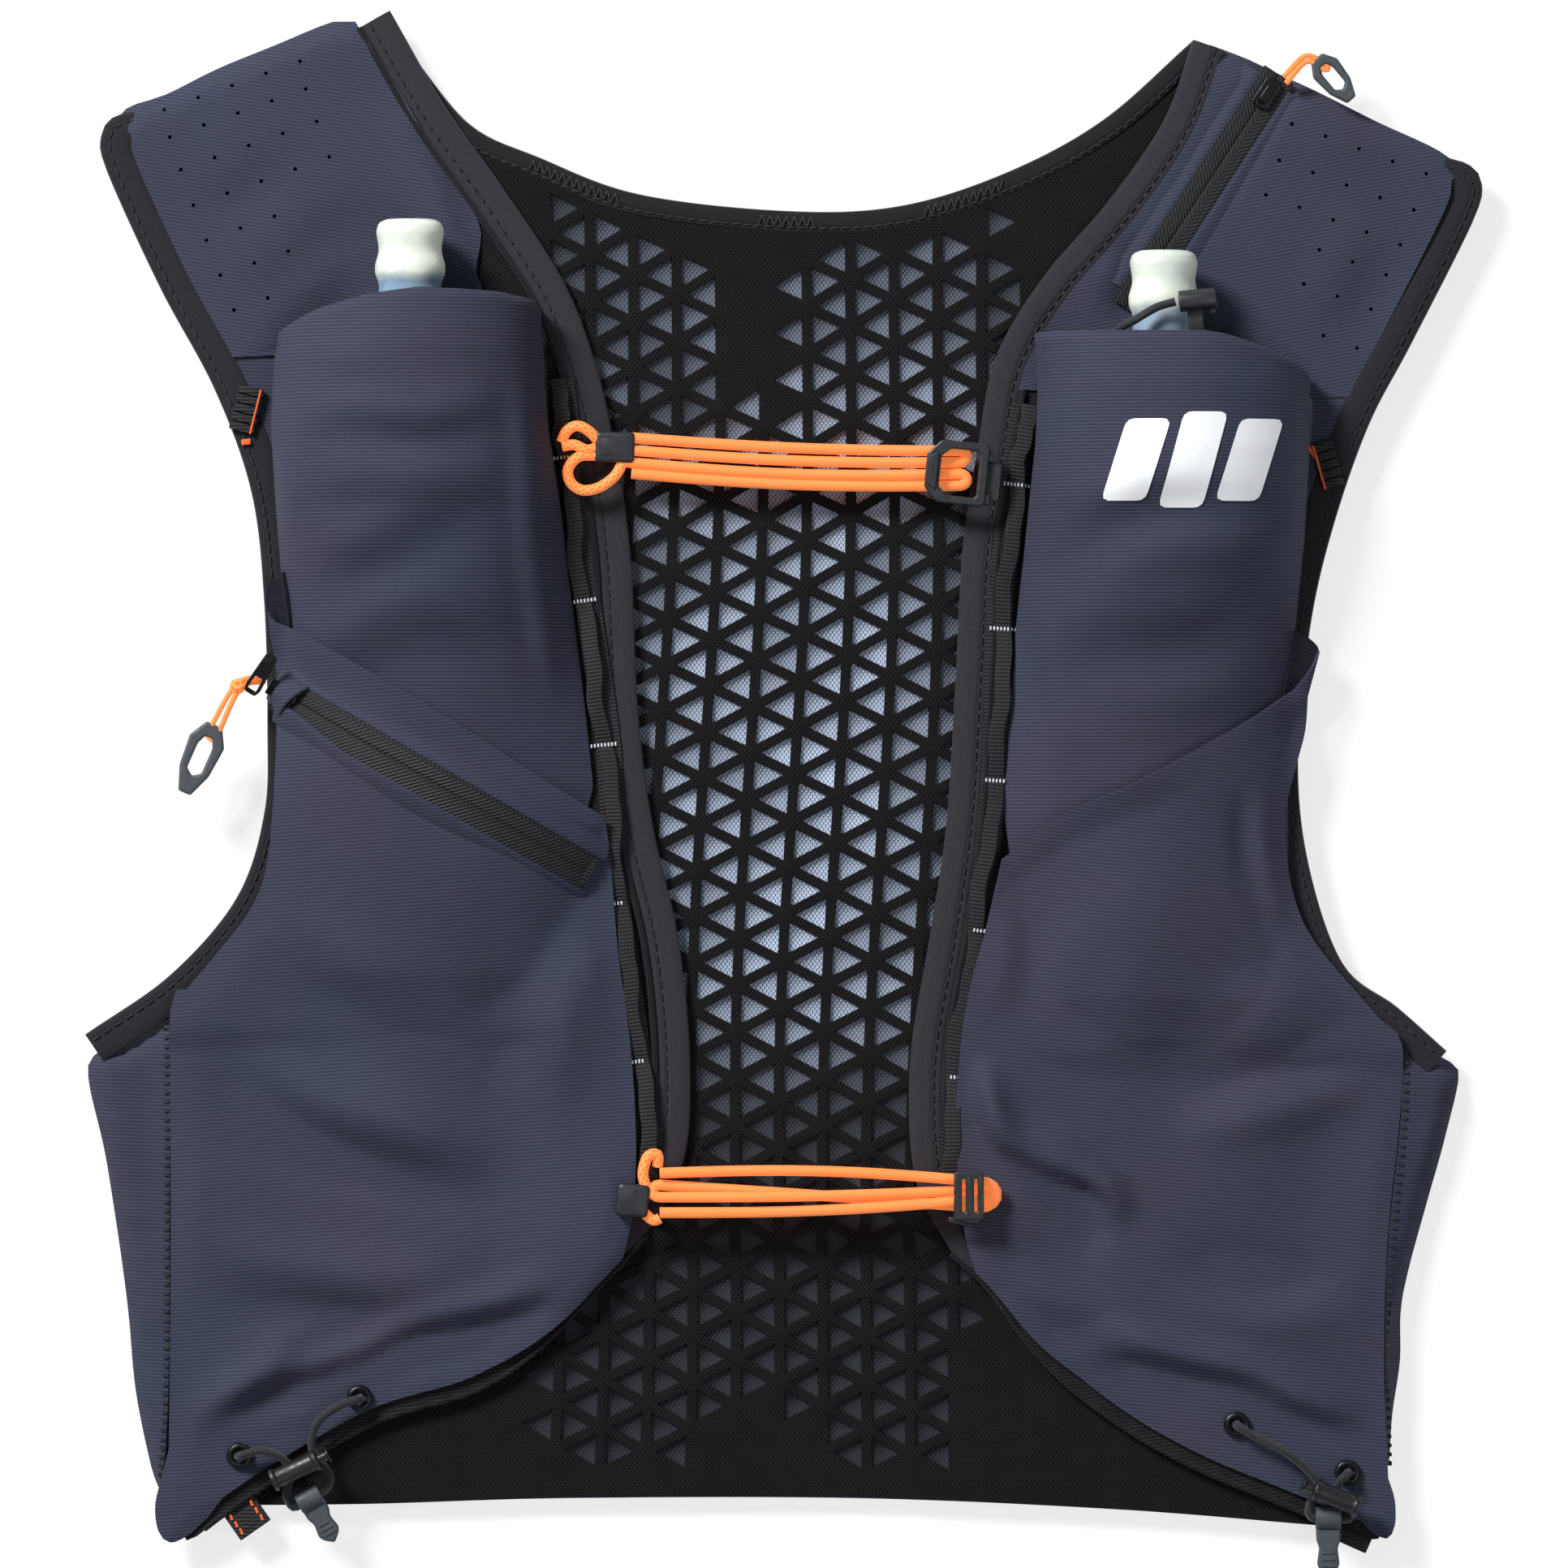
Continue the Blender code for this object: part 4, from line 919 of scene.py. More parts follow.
def window_triangles(outline):
    """The see-through windows of the back panel: lattice triangles pulled in from the struts round them."""
    windows = []
    for column in range(-15, 16):
        for row in range(-22, 12):
            a, b = lattice_corner(column, row), lattice_corner(column, row + 1)
            for step in (-1, 1):
                other = row + (1 if column % 2 else 0)
                apex = lattice_corner(column + step, other if column % 2 else row)
                windows.append([a, b, apex] if step < 0 else [b, a, apex])
    made = []
    for triangle in windows:
        centre = sum(triangle, Vector((0, 0))) / 3
        inner = inset_triangle(triangle, STRUT / 2)
        if not inner or HEAVY_BAND[0] < centre.x < HEAVY_BAND[1] and centre.y > HEAVY_BAND[2]:
            continue
        if not in_lattice_area(centre):
            continue
        xs, ys = np.array([p.x for p in inner]), np.array([p.y for p in inner])
        if within(xs, ys, outline).all() and distance_to(outline + [outline[0]], xs, ys)[0].min() > 1.5:
            made.append(inner)
    return made


def in_lattice_area(place):
    """The lattice covers the middle of the back; the wings and the foot of the panel are plain mesh."""
    arch = ((place.x + 4) / 27) ** 2 + ((place.y + 200) / 30) ** 2 < 1
    if place.y < -60:
        wings = abs(place.x - 2) > 82 + 0.06 * place.y
    else:
        wings = abs(place.x) > (62 if place.y > 112 else 112)
    foot = place.y < -118 and not -90 < place.x < 56 + 0.2 * (place.y + 118)
    return not arch and not wings and not foot and place.y > -186


def inset_triangle(triangle, distance):
    """The triangle with each side moved in, or nothing where it would vanish."""
    a, b, c = triangle
    lengths = [(b - c).length, (c - a).length, (a - b).length]
    total = sum(lengths)
    centre = (a * lengths[0] + b * lengths[1] + c * lengths[2]) / total
    area = abs((b - a).x * (c - a).y - (b - a).y * (c - a).x) / 2
    share = 1 - distance / (2 * area / total)
    return [centre + (p - centre) * share for p in triangle] if share > 0.2 else None


def painted_liner_light(x, y):
    """Painted light on the pale liner seen through the windows: brightest in the middle of the back, with
    painted shade towards its edges, its foot and across folds.
    """
    middle = 0.2 + 0.8 * np.exp(-((x - 2) / np.where(y > 70, 52, 40)) ** 4)
    upper = np.where(y > -56, 1.0, np.exp(-((y + 56) / 19) ** 2) * 0.92 + 0.08)
    upper = upper * np.where(y > 104, 0.45 + 0.55 * np.exp(-((y - 104) / 14) ** 2), 1.0)
    shade = 0.72 + 0.28 * np.exp(-((y + 5) / 75) ** 2)
    # Painted shade and light in bands, as if the liner were folded.
    folds = 0.76 + 0.24 * np.sin(x / 8.0 + 2 * np.sin(y / 19.0)) * np.cos(y / 12.0)
    dim = 1 - 0.75 * np.exp(-(((x + 30) / 26) ** 2 + ((y - 104) / 16) ** 2))
    dim = dim * (1 - 0.45 * np.exp(-(((y - 62) / 12) ** 2)) * (np.abs(x) > 20))
    rim = np.minimum(x + 92, 58 + 0.2 * (y + 118) - x)
    foot = np.where(y < -100, 0.35 + 0.65 * np.clip(rim / 30, 0, 1), 1.0)
    return np.clip(middle * upper * shade * folds * dim * foot, 0.04, 1)


def make_back():
    outline = back_outline(0)
    sheet_object("back_outer_panel_visual", outline, lambda x, y: SHELL_TOP - 0.05 + 0 * x, 9,
                 [FABRIC_SIDE], "vest", ["back_outer_panel"], 1.3)
    sleeve = smooth(((-84, 166), (-40, 151), (0, 147), (45, 152), (84, 168), (92, 120), (92, -60), (88, -150),
                     (60, -172), (0, -176), (-60, -172), (-90, -150), (-94, -60), (-94, 120), (-84, 166)), 8)
    sheet_object("reservoir_sleeve_visual", sleeve[:-1],
                 lambda x, y: SLEEVE_TOP - 0.3 + ripple(x, y, 5, 60, 0.12), 6,
                 [LINER], "vest", ["reservoir_sleeve"], 0.8)
    make_back_mesh(back_outline(0.6))
    make_neck_binding()


def back_drape(x, y):
    """Puckers of the back mesh over the sleeve."""
    soft = ripple(x, y, 3, 46, 0.3)
    low = np.clip((-110 - y) / 40, 0, 1)
    soft = soft + low * (crease(x, y, ((-34, -120), (-30, -150), (-26, -196)), 1.0, 7, 0.8)
                         + crease(x, y, ((22, -118), (30, -150), (46, -198)), 1.0, 6, 0.8)
                         + crease(x, y, ((-88, -166), (-70, -180), (-58, -196)), 0.7, 5, 0.8)
                         + crease(x, y, ((84, -166), (96, -182), (100, -200)), 0.7, 5, 0.8) - 0.3)
    foot = -0.7 * np.exp(-(((x + 4) / 24) ** 2 + ((y + 196) / 22) ** 2))
    return soft + foot


def make_back_mesh(outline):
    """The lattice of the back: one sheet whose windows are sunk in it and show the liner, with painted light
    and shade on it.
    """
    windows = window_triangles(outline)
    points = [Vector((p.x, p.y)) for p in outline]
    edges = [(i, (i + 1) % len(outline)) for i in range(len(outline))]
    for window in windows:
        first = len(points)
        points += window
        edges += [(first, first + 1), (first + 1, first + 2), (first + 2, first)]
    gx, gy = np.meshgrid(np.arange(-180, 184, 6.0), np.arange(-205, 205, 6.0))
    gx, gy = gx.ravel(), gy.ravel()
    keep = within(gx, gy, outline) & (distance_to(outline + [outline[0]], gx, gy)[0] > 3)
    centres = np.array([sum(w, Vector((0, 0))) / 3 for w in windows])
    for x, y in zip(gx[keep], gy[keep]):
        if np.hypot(centres[:, 0] - x, centres[:, 1] - y).min() > 7.5:
            points.append(Vector((x, y)))
    places, _, faces, *_ = delaunay_2d_cdt(points, edges, [], 1, 1e-5)
    px, py = np.array([p.x for p in places]), np.array([p.y for p in places])
    pz = MESH_TOP - 0.5 + back_drape(px, py)
    builder = Builder()
    builder.add(list(zip(px, py, pz)), faces)
    corner_sets = {tuple(sorted((round(p.x, 2), round(p.y, 2)) for p in w)) for w in windows}
    obj = builder.object("back_mesh_visual", [NET_BACK], "vest", ["back_mesh_panel"], 180)
    shape = bmesh.new()
    shape.from_mesh(obj.data)
    if sum(f.normal.z for f in shape.faces) < 0:
        bmesh.ops.reverse_faces(shape, faces=shape.faces)
    holes = [f for f in shape.faces
             if tuple(sorted((round(v.co.x / MM, 2), round(v.co.y / MM, 2)) for v in f.verts)) in corner_sets]
    for inset, depth in ((0.3, -0.25), (0.2, -0.45), (0.1, -0.5)):
        bmesh.ops.inset_individual(shape, faces=holes, thickness=inset * MM, depth=depth * MM)
    window_faces = [f for f in holes if f.is_valid]
    # Each window's corners carry the painted light on the liner behind it.
    painted_glow_layer = shape.verts.layers.float.new("painted_glow")
    for face in window_faces:
        centre = face.calc_center_median() / MM
        value = float(painted_liner_light(centre.x, centre.y))
        for vert in face.verts:
            vert[painted_glow_layer] = value
    shape.to_mesh(obj.data)
    shape.free()


def make_neck_binding():
    """The wide knitted band round the neckline, with a row of stitches and three zigzag tacks."""
    path = smooth(NECKLINE, 2.5)
    builder = Builder()
    section = crowned_section(NECK_BINDING_WIDTH, 0.0, MESH_TOP + 0.3, 0.35, 1.2, ((4.6, 0.35),))
    add_sweep(builder, path, [(-s, h) for s, h in section][::-1], 0)
    add_stitches(builder, offset(path, -4.6), MESH_TOP + 0.2, 1.9, 1.2, 0.4, 0.25, 1)
    for start, end in ((-72, -45), (-9, 9), (36, 62)):
        zigzag = []
        for index, point in enumerate(resampled([p for p in path if start < p.x < end], 1.1)):
            zigzag.append(point + Vector((0, -1.6 if index % 2 else -4.4)))
        for a, b in zip(zigzag, zigzag[1:]):
            add_block(builder, ((a.x + b.x) / 2, (a.y + b.y) / 2, MESH_TOP + 0.4), (b.x - a.x, b.y - a.y, 0),
                      ((b - a).length, 0.4, 0.25), 1)
    builder.object("neck_binding_visual", [BINDING_DARK, STITCH_GREY], "vest", ["neck_binding"])


# Front of the vest: straps, panels and bindings.


def panel_lines(side):
    _, armhole, front, _ = EDGES[side]
    sign = SIGN[side]
    outer = offset(smooth(armhole), sign * (BINDING_WIDTH - 0.6))
    inner = offset(smooth(front), -sign * (BINDING_WIDTH - 0.6))
    return outer, inner


STRAP_CEILING = 1.0


STRAP_FOLDS = {
    "left": ((((-86, 134), (-91, 150), (-100, 172), (-108, 192)), 2.2, 3.5, 0.5),
             (((-150, 120), (-128, 138), (-118, 150)), 1.4, 6, 0.8),
             (((-160, 140), (-140, 150), (-122, 172)), 1.0, 9, 0.8),
             (((-170, 160), (-150, 176), (-130, 190)), 0.8, 8, 0.8)),
    "right": ((((98, 128), (92, 138), (84, 150), (96, 168)), 2.0, 3.5, 0.6),
              (((82, 128), (88, 146), (100, 166)), 1.4, 4, 0.8),
              (((140, 122), (150, 138), (160, 160)), 1.2, 7, 0.8),
              (((140, 188), (150, 176), (166, 166)), 0.9, 7, 0.8)),
}


def strap_height(side):
    """The height of a shoulder strap over the plan: puffed, folded, and flat at its seams."""
    fold = smooth(EDGES[side][0], 4)
    inner = panel_lines(side)[1]

    def height(x, y):
        to_fold = distance_to(fold, x, y)[0]
        rolled = np.clip(1 - to_fold / 9, 0, 1)
        roll = 6.4 * (1 - np.sqrt(np.clip(1 - rolled ** 2, 0, 1)))
        puff = 0.8 * np.exp(-(to_fold / 30) ** 2)
        dip, sewn = 0.0, 1.0
        if side == "right":
            sewn = 1 - np.exp(-(distance_to(inner, x, y)[0] / 7) ** 2)
            to_zip = distance_to([SHOULDER_ZIP_TOP + SHOULDER_ZIP_ALONG * d for d in (-4, 20, 74)], x, y)[0]
            dip = 1.7 * np.exp(-(to_zip / 6.1) ** 6)
        soft = ((puff + creased(x, y, STRAP_FOLDS[side])) * np.exp(-dip)
                + ripple(x, y, 21 + (side == "right"), 55, 0.35))
        if side == "left":
            soft = STRAP_CEILING - np.log1p(np.exp(4 * (STRAP_CEILING - soft))) / 4 + 0.1
        return BASE_TOP + 0.45 + soft * sewn - roll - dip
    return height


LEFT_OVERLAY = ((-117.5, 209), (-110, 197), (-103, 186), (-99, 179), (-92, 168.5), (-85.5, 157.5), (-83, 151),
                (-84.4, 140), (-82, 134), (-83, 120))
HOLE_ROWS = {
    "left": ((-152.4, 197.9, 2), (-169.8, 184.8, 5), (-168.2, 177.2, 5), (-165.2, 168.3, 5),
             (-161.8, 158.6, 5), (-158.2, 149.0, 3), (-154.4, 139.4, 3), (-150.7, 129.9, 2)),
    "right": ((141.3, 189.8, 3), (139.0, 180.8, 5), (135.6, 170.9, 5), (131.9, 161.4, 5), (146.5, 146.4, 3),
              (142.3, 137.0, 3), (147.7, 122.9, 2)),
}
HOLE_STEP = {"left": (9.3, 3.3), "right": (9.2, -3.4)}
HOLE_RADIUS = 0.55


def strap_outline(side):
    fold, armhole = EDGES[side][:2]
    sign = SIGN[side]
    seam = SHOULDER_SEAM_Y[side]
    outer, inner = panel_lines(side)
    outer = offset(smooth(armhole[2:]), sign * (BINDING_WIDTH - 0.6))
    top = offset(smooth(fold, 4), sign * 1.0)
    if side == "left":
        inner = smooth(LEFT_OVERLAY, 4)
        top = [p for p in top if p.x < -118]
    right = above(outer, seam + 1)
    return (top[1:-1] + right + [crossing(outer, seam)] + [crossing(inner, seam + 2)]
            + above(inner, seam + 4)[::-1])


def make_strap(side):
    """A shoulder strap of perforated fabric, over its lining."""
    outline = strap_outline(side)
    height = strap_height(side)
    rim = outline + [outline[0]]
    holes = []
    for first_x, first_y, count in HOLE_ROWS[side]:
        for index in range(count):
            x, y = first_x + index * HOLE_STEP[side][0], first_y + index * HOLE_STEP[side][1]
            at = np.array([x]), np.array([y])
            if within(*at, outline)[0] and distance_to(rim, *at)[0][0] > 2.5:
                holes.append((x, y, HOLE_RADIUS))
    material = FABRIC_UPPER_LEFT if side == "left" else FABRIC_UPPER_RIGHT
    sheet_object(f"shoulder_strap_{side}_visual", outline, height, 3.2, [material], "vest",
                 [f"shoulder_strap_{side}"], 0.9, holes)
    make_strap_lining(side)


def make_strap_lining(side):
    """Black mesh under the strap, which shows beside the loose edge and through the punched holes."""
    fold, armhole = EDGES[side][:2]
    seam = SHOULDER_SEAM_Y[side] - 6
    outer, inner = panel_lines(side)
    top = offset(smooth(fold, 6), SIGN[side] * 4.5)
    outer = offset(smooth(armhole[2:]), SIGN[side] * (BINDING_WIDTH - 0.6))
    outline = top[1:-1] + above(outer, seam) + above(inner, seam)[::-1]
    folded = smooth(fold, 6)

    def height(x, y):
        rolled = np.clip(1 - distance_to(folded, x, y)[0] / 10, 0, 1)
        return BASE_LOW + 0.9 + ripple(x, y, 8, 25, 0.2) - 5.0 * (1 - np.sqrt(1 - rolled ** 2))
    sheet_object(f"strap_lining_{side}", outline, height, 4,
                 [NET_PLAIN], "vest", (), 0.6)


SIDE_UNDER = {"left": ((-170.4, -68), (-170.4, -150), (-169.5, -190), (-166, -203)),
              "right": ((171, -73), (170.8, -104), (167.2, -133), (164.8, -158), (164.4, -203))}


def hem_line(side, inner, outer):
    """The hem moved out by one distance near the middle of the vest, and by another further out."""
    line = smooth(EDGES[side][3], 3)
    near, far = offset(line, SIGN[side] * inner), offset(line, SIGN[side] * outer)
    shares = [min(1.0, max(0.0, (abs(p.x) - 58) / 22)) for p in line]
    return [a.lerp(b, share) for a, b, share in zip(near, far, shares)]


def make_front_panel(side):
    """The mesh panel behind the pockets, which shows as a strip below the hem."""
    outer, inner = panel_lines(side)
    seam = SHOULDER_SEAM_Y[side]
    rim = hem_line(side, 0.8, 2.3)[1:]
    under = SIDE_UNDER[side]
    lower = [crossing(outer, seam + 3)] + [p for p in below(outer, seam + 1) if abs(p.x) < abs(under[0][0])]
    lower += [Vector(p) for p in under]
    lower += [p for p in rim[::-1] if abs(p.x) < abs(under[-1][0]) - 1] + below(inner, seam + 1)[::-1]
    lower += [crossing(inner, seam + 3)]
    outline = resampled(lower + [lower[0]], 4)[:-1]
    shell_x = 124 if side == "left" else 129
    hem_edge = [Vector((p.x, p.y, BASE_TOP - 0.2)) for p in hem_line(side, 0.6, 2.1) if abs(p.x) < 160]

    def edge_roll(builder):
        add_sweep(builder, hem_edge, round_section(1.5, 8), 0)
    sheet_object(f"front_panel_{side}_visual", outline,
                 lambda x, y: BASE_TOP - 0.3 + ripple(x, y, 9, 25, 0.15), 5,
                 [NET_FRONT, FABRIC_SIDE], "vest", [f"front_panel_{side}"], 1.0,
                 extra=edge_roll,
                 face_slot=lambda x, y: int(abs(x) > shell_x and y > 0))


FRONT_TAILS = {"left": ((-46.5, -131.5), (-56.5, -140.0)), "right": ((54.5, -136.0), (64.0, -145.5))}


def make_bindings(side):
    """The narrow bindings down the armhole and the front edge of one side."""
    _, armhole, front, _ = EDGES[side]
    sign = SIGN[side]
    for name, line, turn, stitch in (("armhole", armhole, sign, 2.6), ("front_edge", front, -sign, 6.6)):
        path = smooth(line if name == "armhole" else line + FRONT_TAILS[side], 2.5)
        generator = random.Random(name + side)
        shifts = [0.25 * math.sin(i * 0.21 + generator.uniform(0, 0.4)) for i in range(len(path))]
        section = crowned_section(BINDING_WIDTH, BASE_LOW, BASE_TOP + 0.35, 0.55, 1.0, ((stitch, 0.4),))

        def shape(index, section=section, turn=turn, shifts=shifts):
            made = [(turn * s, h + shifts[index] * 0.3) for s, h in section]
            return made if turn < 0 else made[::-1]
        builder = Builder()
        add_sweep(builder, path, shape, 0)
        add_stitches(builder, offset(path, turn * stitch), BASE_TOP + 0.42, 2.4, 1.3, 0.55, 0.35, 1)
        if name == "front_edge":
            edge = [(0.9, 0), (0.9, 1.1), (0.2, 1.3), (-0.6, 0.9), (-0.8, 0)]
            seen = [Vector((p.x, p.y, BASE_TOP)) for p in path if side == "left" or p.y < 112]
            add_sweep(builder, seen, [(turn * (9.6 + s), h) for s, h in edge], 2)
        cover = BINDING_ARM if name == "armhole" else BINDING
        builder.object(f"{name}_binding_{side}_visual", [cover, STITCH_BLACK, BINDING_DARK], "vest",
                       [f"{name}_binding_{side}"])


def make_side_panel(side):
    """The stretch panel between the back and a front pocket, with the stitches of its seam."""
    outer = smooth(LEFT_PANEL if side == "left" else RIGHT_PANEL, 4)
    seam = smooth(SEAM_LINES[side], 4)
    outline = outer + seam[::-1]
    outline = resampled(outline + [outline[0]], 3)[:-1]

    def height(x, y):
        rolled = np.clip(1 - distance_to(outer, x, y)[0] / 7, 0, 1)
        flush = 1.0 * np.exp(-(distance_to(seam, x, y)[0] / 3.5) ** 2)
        folds = creased(x, y, SIDE_CREASES[side])
        return (BASE_TOP + 0.3 + flush + folds * (1 - rolled) - 6.8 * (1 - np.sqrt(1 - rolled ** 2 * 0.98))
                + ripple(x, y, 31, 26, 0.3) * (1 - flush))

    def seam_stitches(builder):
        line = [p for p in seam if -190 < p.y]
        add_stitches(builder, offset(line, -SIGN[side] * 0.8),
                     lambda x, y: float(height(np.array([x]), np.array([y]))[0]) + 0.08,
                     1.5, 1.0, 0.3, 0.12, 1)
    sheet_object(f"side_panel_{side}_visual", outline, height, 3, [FABRIC_SIDE, STITCH_GREY], "vest",
                 [f"side_panel_{side}"], 1.0, extra=seam_stitches)


# Pockets.


def make_flask_pocket(side):
    """A stretch sleeve over the flask, open at the top, with a turned hem band at its mouth."""
    stations = FLASK_POCKETS[side]
    top, foot = stations[0][0], stations[-1][0]
    rows, columns = 76, 56
    hem = 9.5
    builder = Builder()
    points, places = [], []
    for row in range(rows + 1):
        y = top + (foot - top) * row / rows
        left, right, rise = (float(v) for v in pocket_stations(side, y))
        roundness = float(pocket_roundness(y))
        near_top = (top - y) / 12
        for column in range(columns + 1):
            angle = math.pi * column / columns
            across = -math.cos(angle)
            x = (left + right) / 2 + across * (right - left) / 2
            z = POCKET_BASE + 1.0 + rise * math.sin(angle) ** (2 * roundness)
            band = 0.35 * math.exp(-((top - y - hem) / 1.0) ** 2) * math.sin(angle)
            inside = math.sin(angle) ** 0.5
            fold = float(flask_folds(side, np.array([x]), np.array([y]))[0]) * inside
            sag = -1.2 * math.exp(-near_top ** 2) * (across ** 2) * math.sin(angle)
            lip = mouth_line(side, across) * math.exp(-(near_top * 0.9) ** 2)
            points.append((x, y + lip, z - band + fold + sag))
            places.append((x, y))
    count = columns + 1
    faces = [(r * count + i, r * count + i + 1, (r + 1) * count + i + 1, (r + 1) * count + i)
             for r in range(rows) for i in range(columns)]
    builder.add(points, faces, 0, places)
    obj = builder.object(f"flask_pocket_{side}_visual", [FABRIC_FLASK], "vest",
                         [f"flask_pocket_{side}"], 60)
    if obj.data.polygons[columns * 20 + columns // 2].normal.z < 0:
        obj.data.flip_normals()
    bake(thicken(obj, 0.9))


MOUTH_LIPS = {
    "left": ((-1, -0.83, -0.675, -0.285, 0.088, 0.68, 0.958, 1),
             (-9.6, -6.2, -3.6, 0.2, 2.0, 1.1, -0.9, -3.0)),
    "right": ((-1, 0.23, 0.4, 0.55, 0.7, 0.835, 1), (0.4, 0.2, -1.0, -2.9, -4.8, -7.1, -11.6)),
}


def mouth_line(side, across):
    """How far the mouth's edge stands above or below its mean line."""
    return float(np.interp(across, *MOUTH_LIPS[side]))


# Folds of the pockets: a path on the plan, the ridge's height and width, how deep the dip beside it is,
# and how far the fold's ends take to fade.

FLASK_FOLDS = {
    "left": ((((-136, 100), (-118, 104), (-98, 101), (-72, 107)), 2.0, 5, 0.6),
             (((-134, 88), (-112, 84), (-84, 90)), 1.9, 6, 0.7),
             (((-136, 62), (-112, 70), (-92, 82), (-70, 88)), 2.0, 7, 0.8),
             (((-138, 30), (-118, 44), (-96, 50), (-68, 46)), 1.6, 8, 0.8),
             (((-134, 112), (-120, 116), (-100, 112)), 1.3, 5, 0.8),
             (((-72, 118), (-70, 96), (-68, 60), (-62, 20)), 1.7, 3.5, 0.3)),
    "right": ((((70, 66), (84, 78), (104, 84), (140, 78)), 1.6, 7, 0.7),
              (((68, 40), (92, 48), (124, 46)), 1.9, 8, 0.7),
              (((140, 60), (124, 66), (100, 62), (76, 52)), 1.7, 7, 0.8),
              (((138, 30), (118, 26), (92, 18)), 1.4, 8, 0.8), (((66, 60), (74, 30), (78, 0)), 1.4, 4, 0.6)),
}
LOWER_FOLDS = {
    "left": ((((-150, -66), (-130, -84), (-104, -94), (-90, -99), (-70, -106)), 3.9, 8, 0.9, 22),
             (((-160, -124), (-141, -130), (-124, -134), (-102, -136), (-78, -131)), 3.1, 8, 0.9, 20),
             (((-161, -180), (-153, -168), (-138, -159), (-122, -157), (-103, -148), (-78, -141),
               (-60, -134)), 3.8, 4.6, 0.9, 12),
             (((-146, -156), (-132, -150), (-121, -150)), 2.0, 4, 0.9, 7),
             (((-110, -168), (-100, -164), (-88, -160)), 1.6, 4, 0.8, 8),
             (((-48, -40), (-58, -60), (-60, -92)), 2.0, 7, 0.6),
             (((-140, -30), (-120, -46), (-92, -56)), 1.8, 9, 0.7, 18),
             (((-74, -34), (-66, -52), (-64, -84)), 1.6, 8, 0.7)),
    "right": ((((54.5, -72), (56, -86), (61, -98), (72, -104), (84, -107.5), (90, -114), (89, -124)),
               5.4, 4.6, 1.1, 9),
              (((64, -92), (76, -98), (90, -101)), 2.4, 5, 0.8, 9),
              (((84, -148), (94, -151.5), (106, -155), (125, -160), (142, -168), (161, -177)),
               4.8, 4.8, 0.8, 11),
              (((168, -76), (146, -86), (122, -92), (104, -98)), 3.1, 7, 0.9, 16),
              (((146, -50), (132, -60), (112, -68)), 1.8, 8, 0.7, 14),
              (((160, -140), (144, -146), (124, -146), (100, -138)), 2.5, 7, 0.8, 14),
              (((62, -128), (72, -140), (88, -146)), 2.3, 5, 0.8, 9),
              (((64, -30), (60, -50), (58, -70)), 2.0, 6, 0.6),
              (((130, 2), (131.5, -14), (134, -28), (141, -44)), 2.3, 3.6, 0.8, 9),
              (((84, -30), (76, -50), (74, -74)), 1.6, 8, 0.7)),
}


def flask_folds(side, x, y):
    return ripple(x, y, 41 + (side == "right"), 44, 0.35) + creased(x, y, FLASK_FOLDS[side])


def lower_folds(side, x, y):
    folds = creased(x, y, LOWER_FOLDS[side]) + ripple(x, y, 51 + (side == "right"), 60, 0.8)
    if side == "right":
        dent = -3.0 * np.exp(-(((x - 84) / 4.6) ** 2 + ((y + 119) / 7) ** 2))
        folds = folds + dent
    return folds


def flap_lift(x, y, edge):
    """The pocket's mouth stands a little off the flask pocket, most at its outer corner."""
    gap, _ = distance_to(edge, x, y)
    outer = np.clip((np.abs(x) - 118) / 22, 0, 1)
    return (1.7 + 1.6 * outer ** 2) * np.exp(-(gap / 5) ** 2) - 0.3 * np.exp(-((gap - 8) / 1.0) ** 2)


LEFT_MOUTH = ((-141.4, 50), (-140.4, 45.4), (-134.5, 42.2), (-126, 38), (-112, 30), (-94, 19.5), (-78, 9.5),
              (-62, -1), (-49, -9))
RIGHT_MOUTH = ((146.4, 36.2), (144.2, 31.6), (139.4, 26), (131, 20), (118, 12.5), (96, 0.5), (76, -8.5),
               (59.5, -20.5))

# Places where the cloth lies flat: round the eyelets and under the lower strap's buckle.
CALM = {"left": ((-149, -184), (-138, -184), (-117, -169)),
        "right": ((154, -189), (140, -186), (124, -176), (60, -113))}


def make_pocket_corner(side):
    """The inside of the pocket's back layer, which shows where the mouth gapes at its outer corner, darkened
    with painted shade.
    """
    if side == "left":
        corners = ((-137.2, 58), (-140.4, 56), (-141.7, 52.5), (-141.3, 47), (-138, 43), (-135.4, 41.8),
                   (-136, 50))
    else:
        corners = ((139.8, 42.2), (143.6, 40), (146.4, 36.4), (144, 30), (139.6, 25.2), (136.8, 24.4),
                   (138.4, 33))
    outline = resampled(smooth((*corners, corners[0]), 1.5), 1.5)[:-1]
    sheet_object(f"pocket_corner_{side}", outline, lambda x, y: chest_height(side, x, y) + 1.0, 2.0,
                 [FABRIC_INSIDE_SHADE],
                 "vest", (), 0.8)


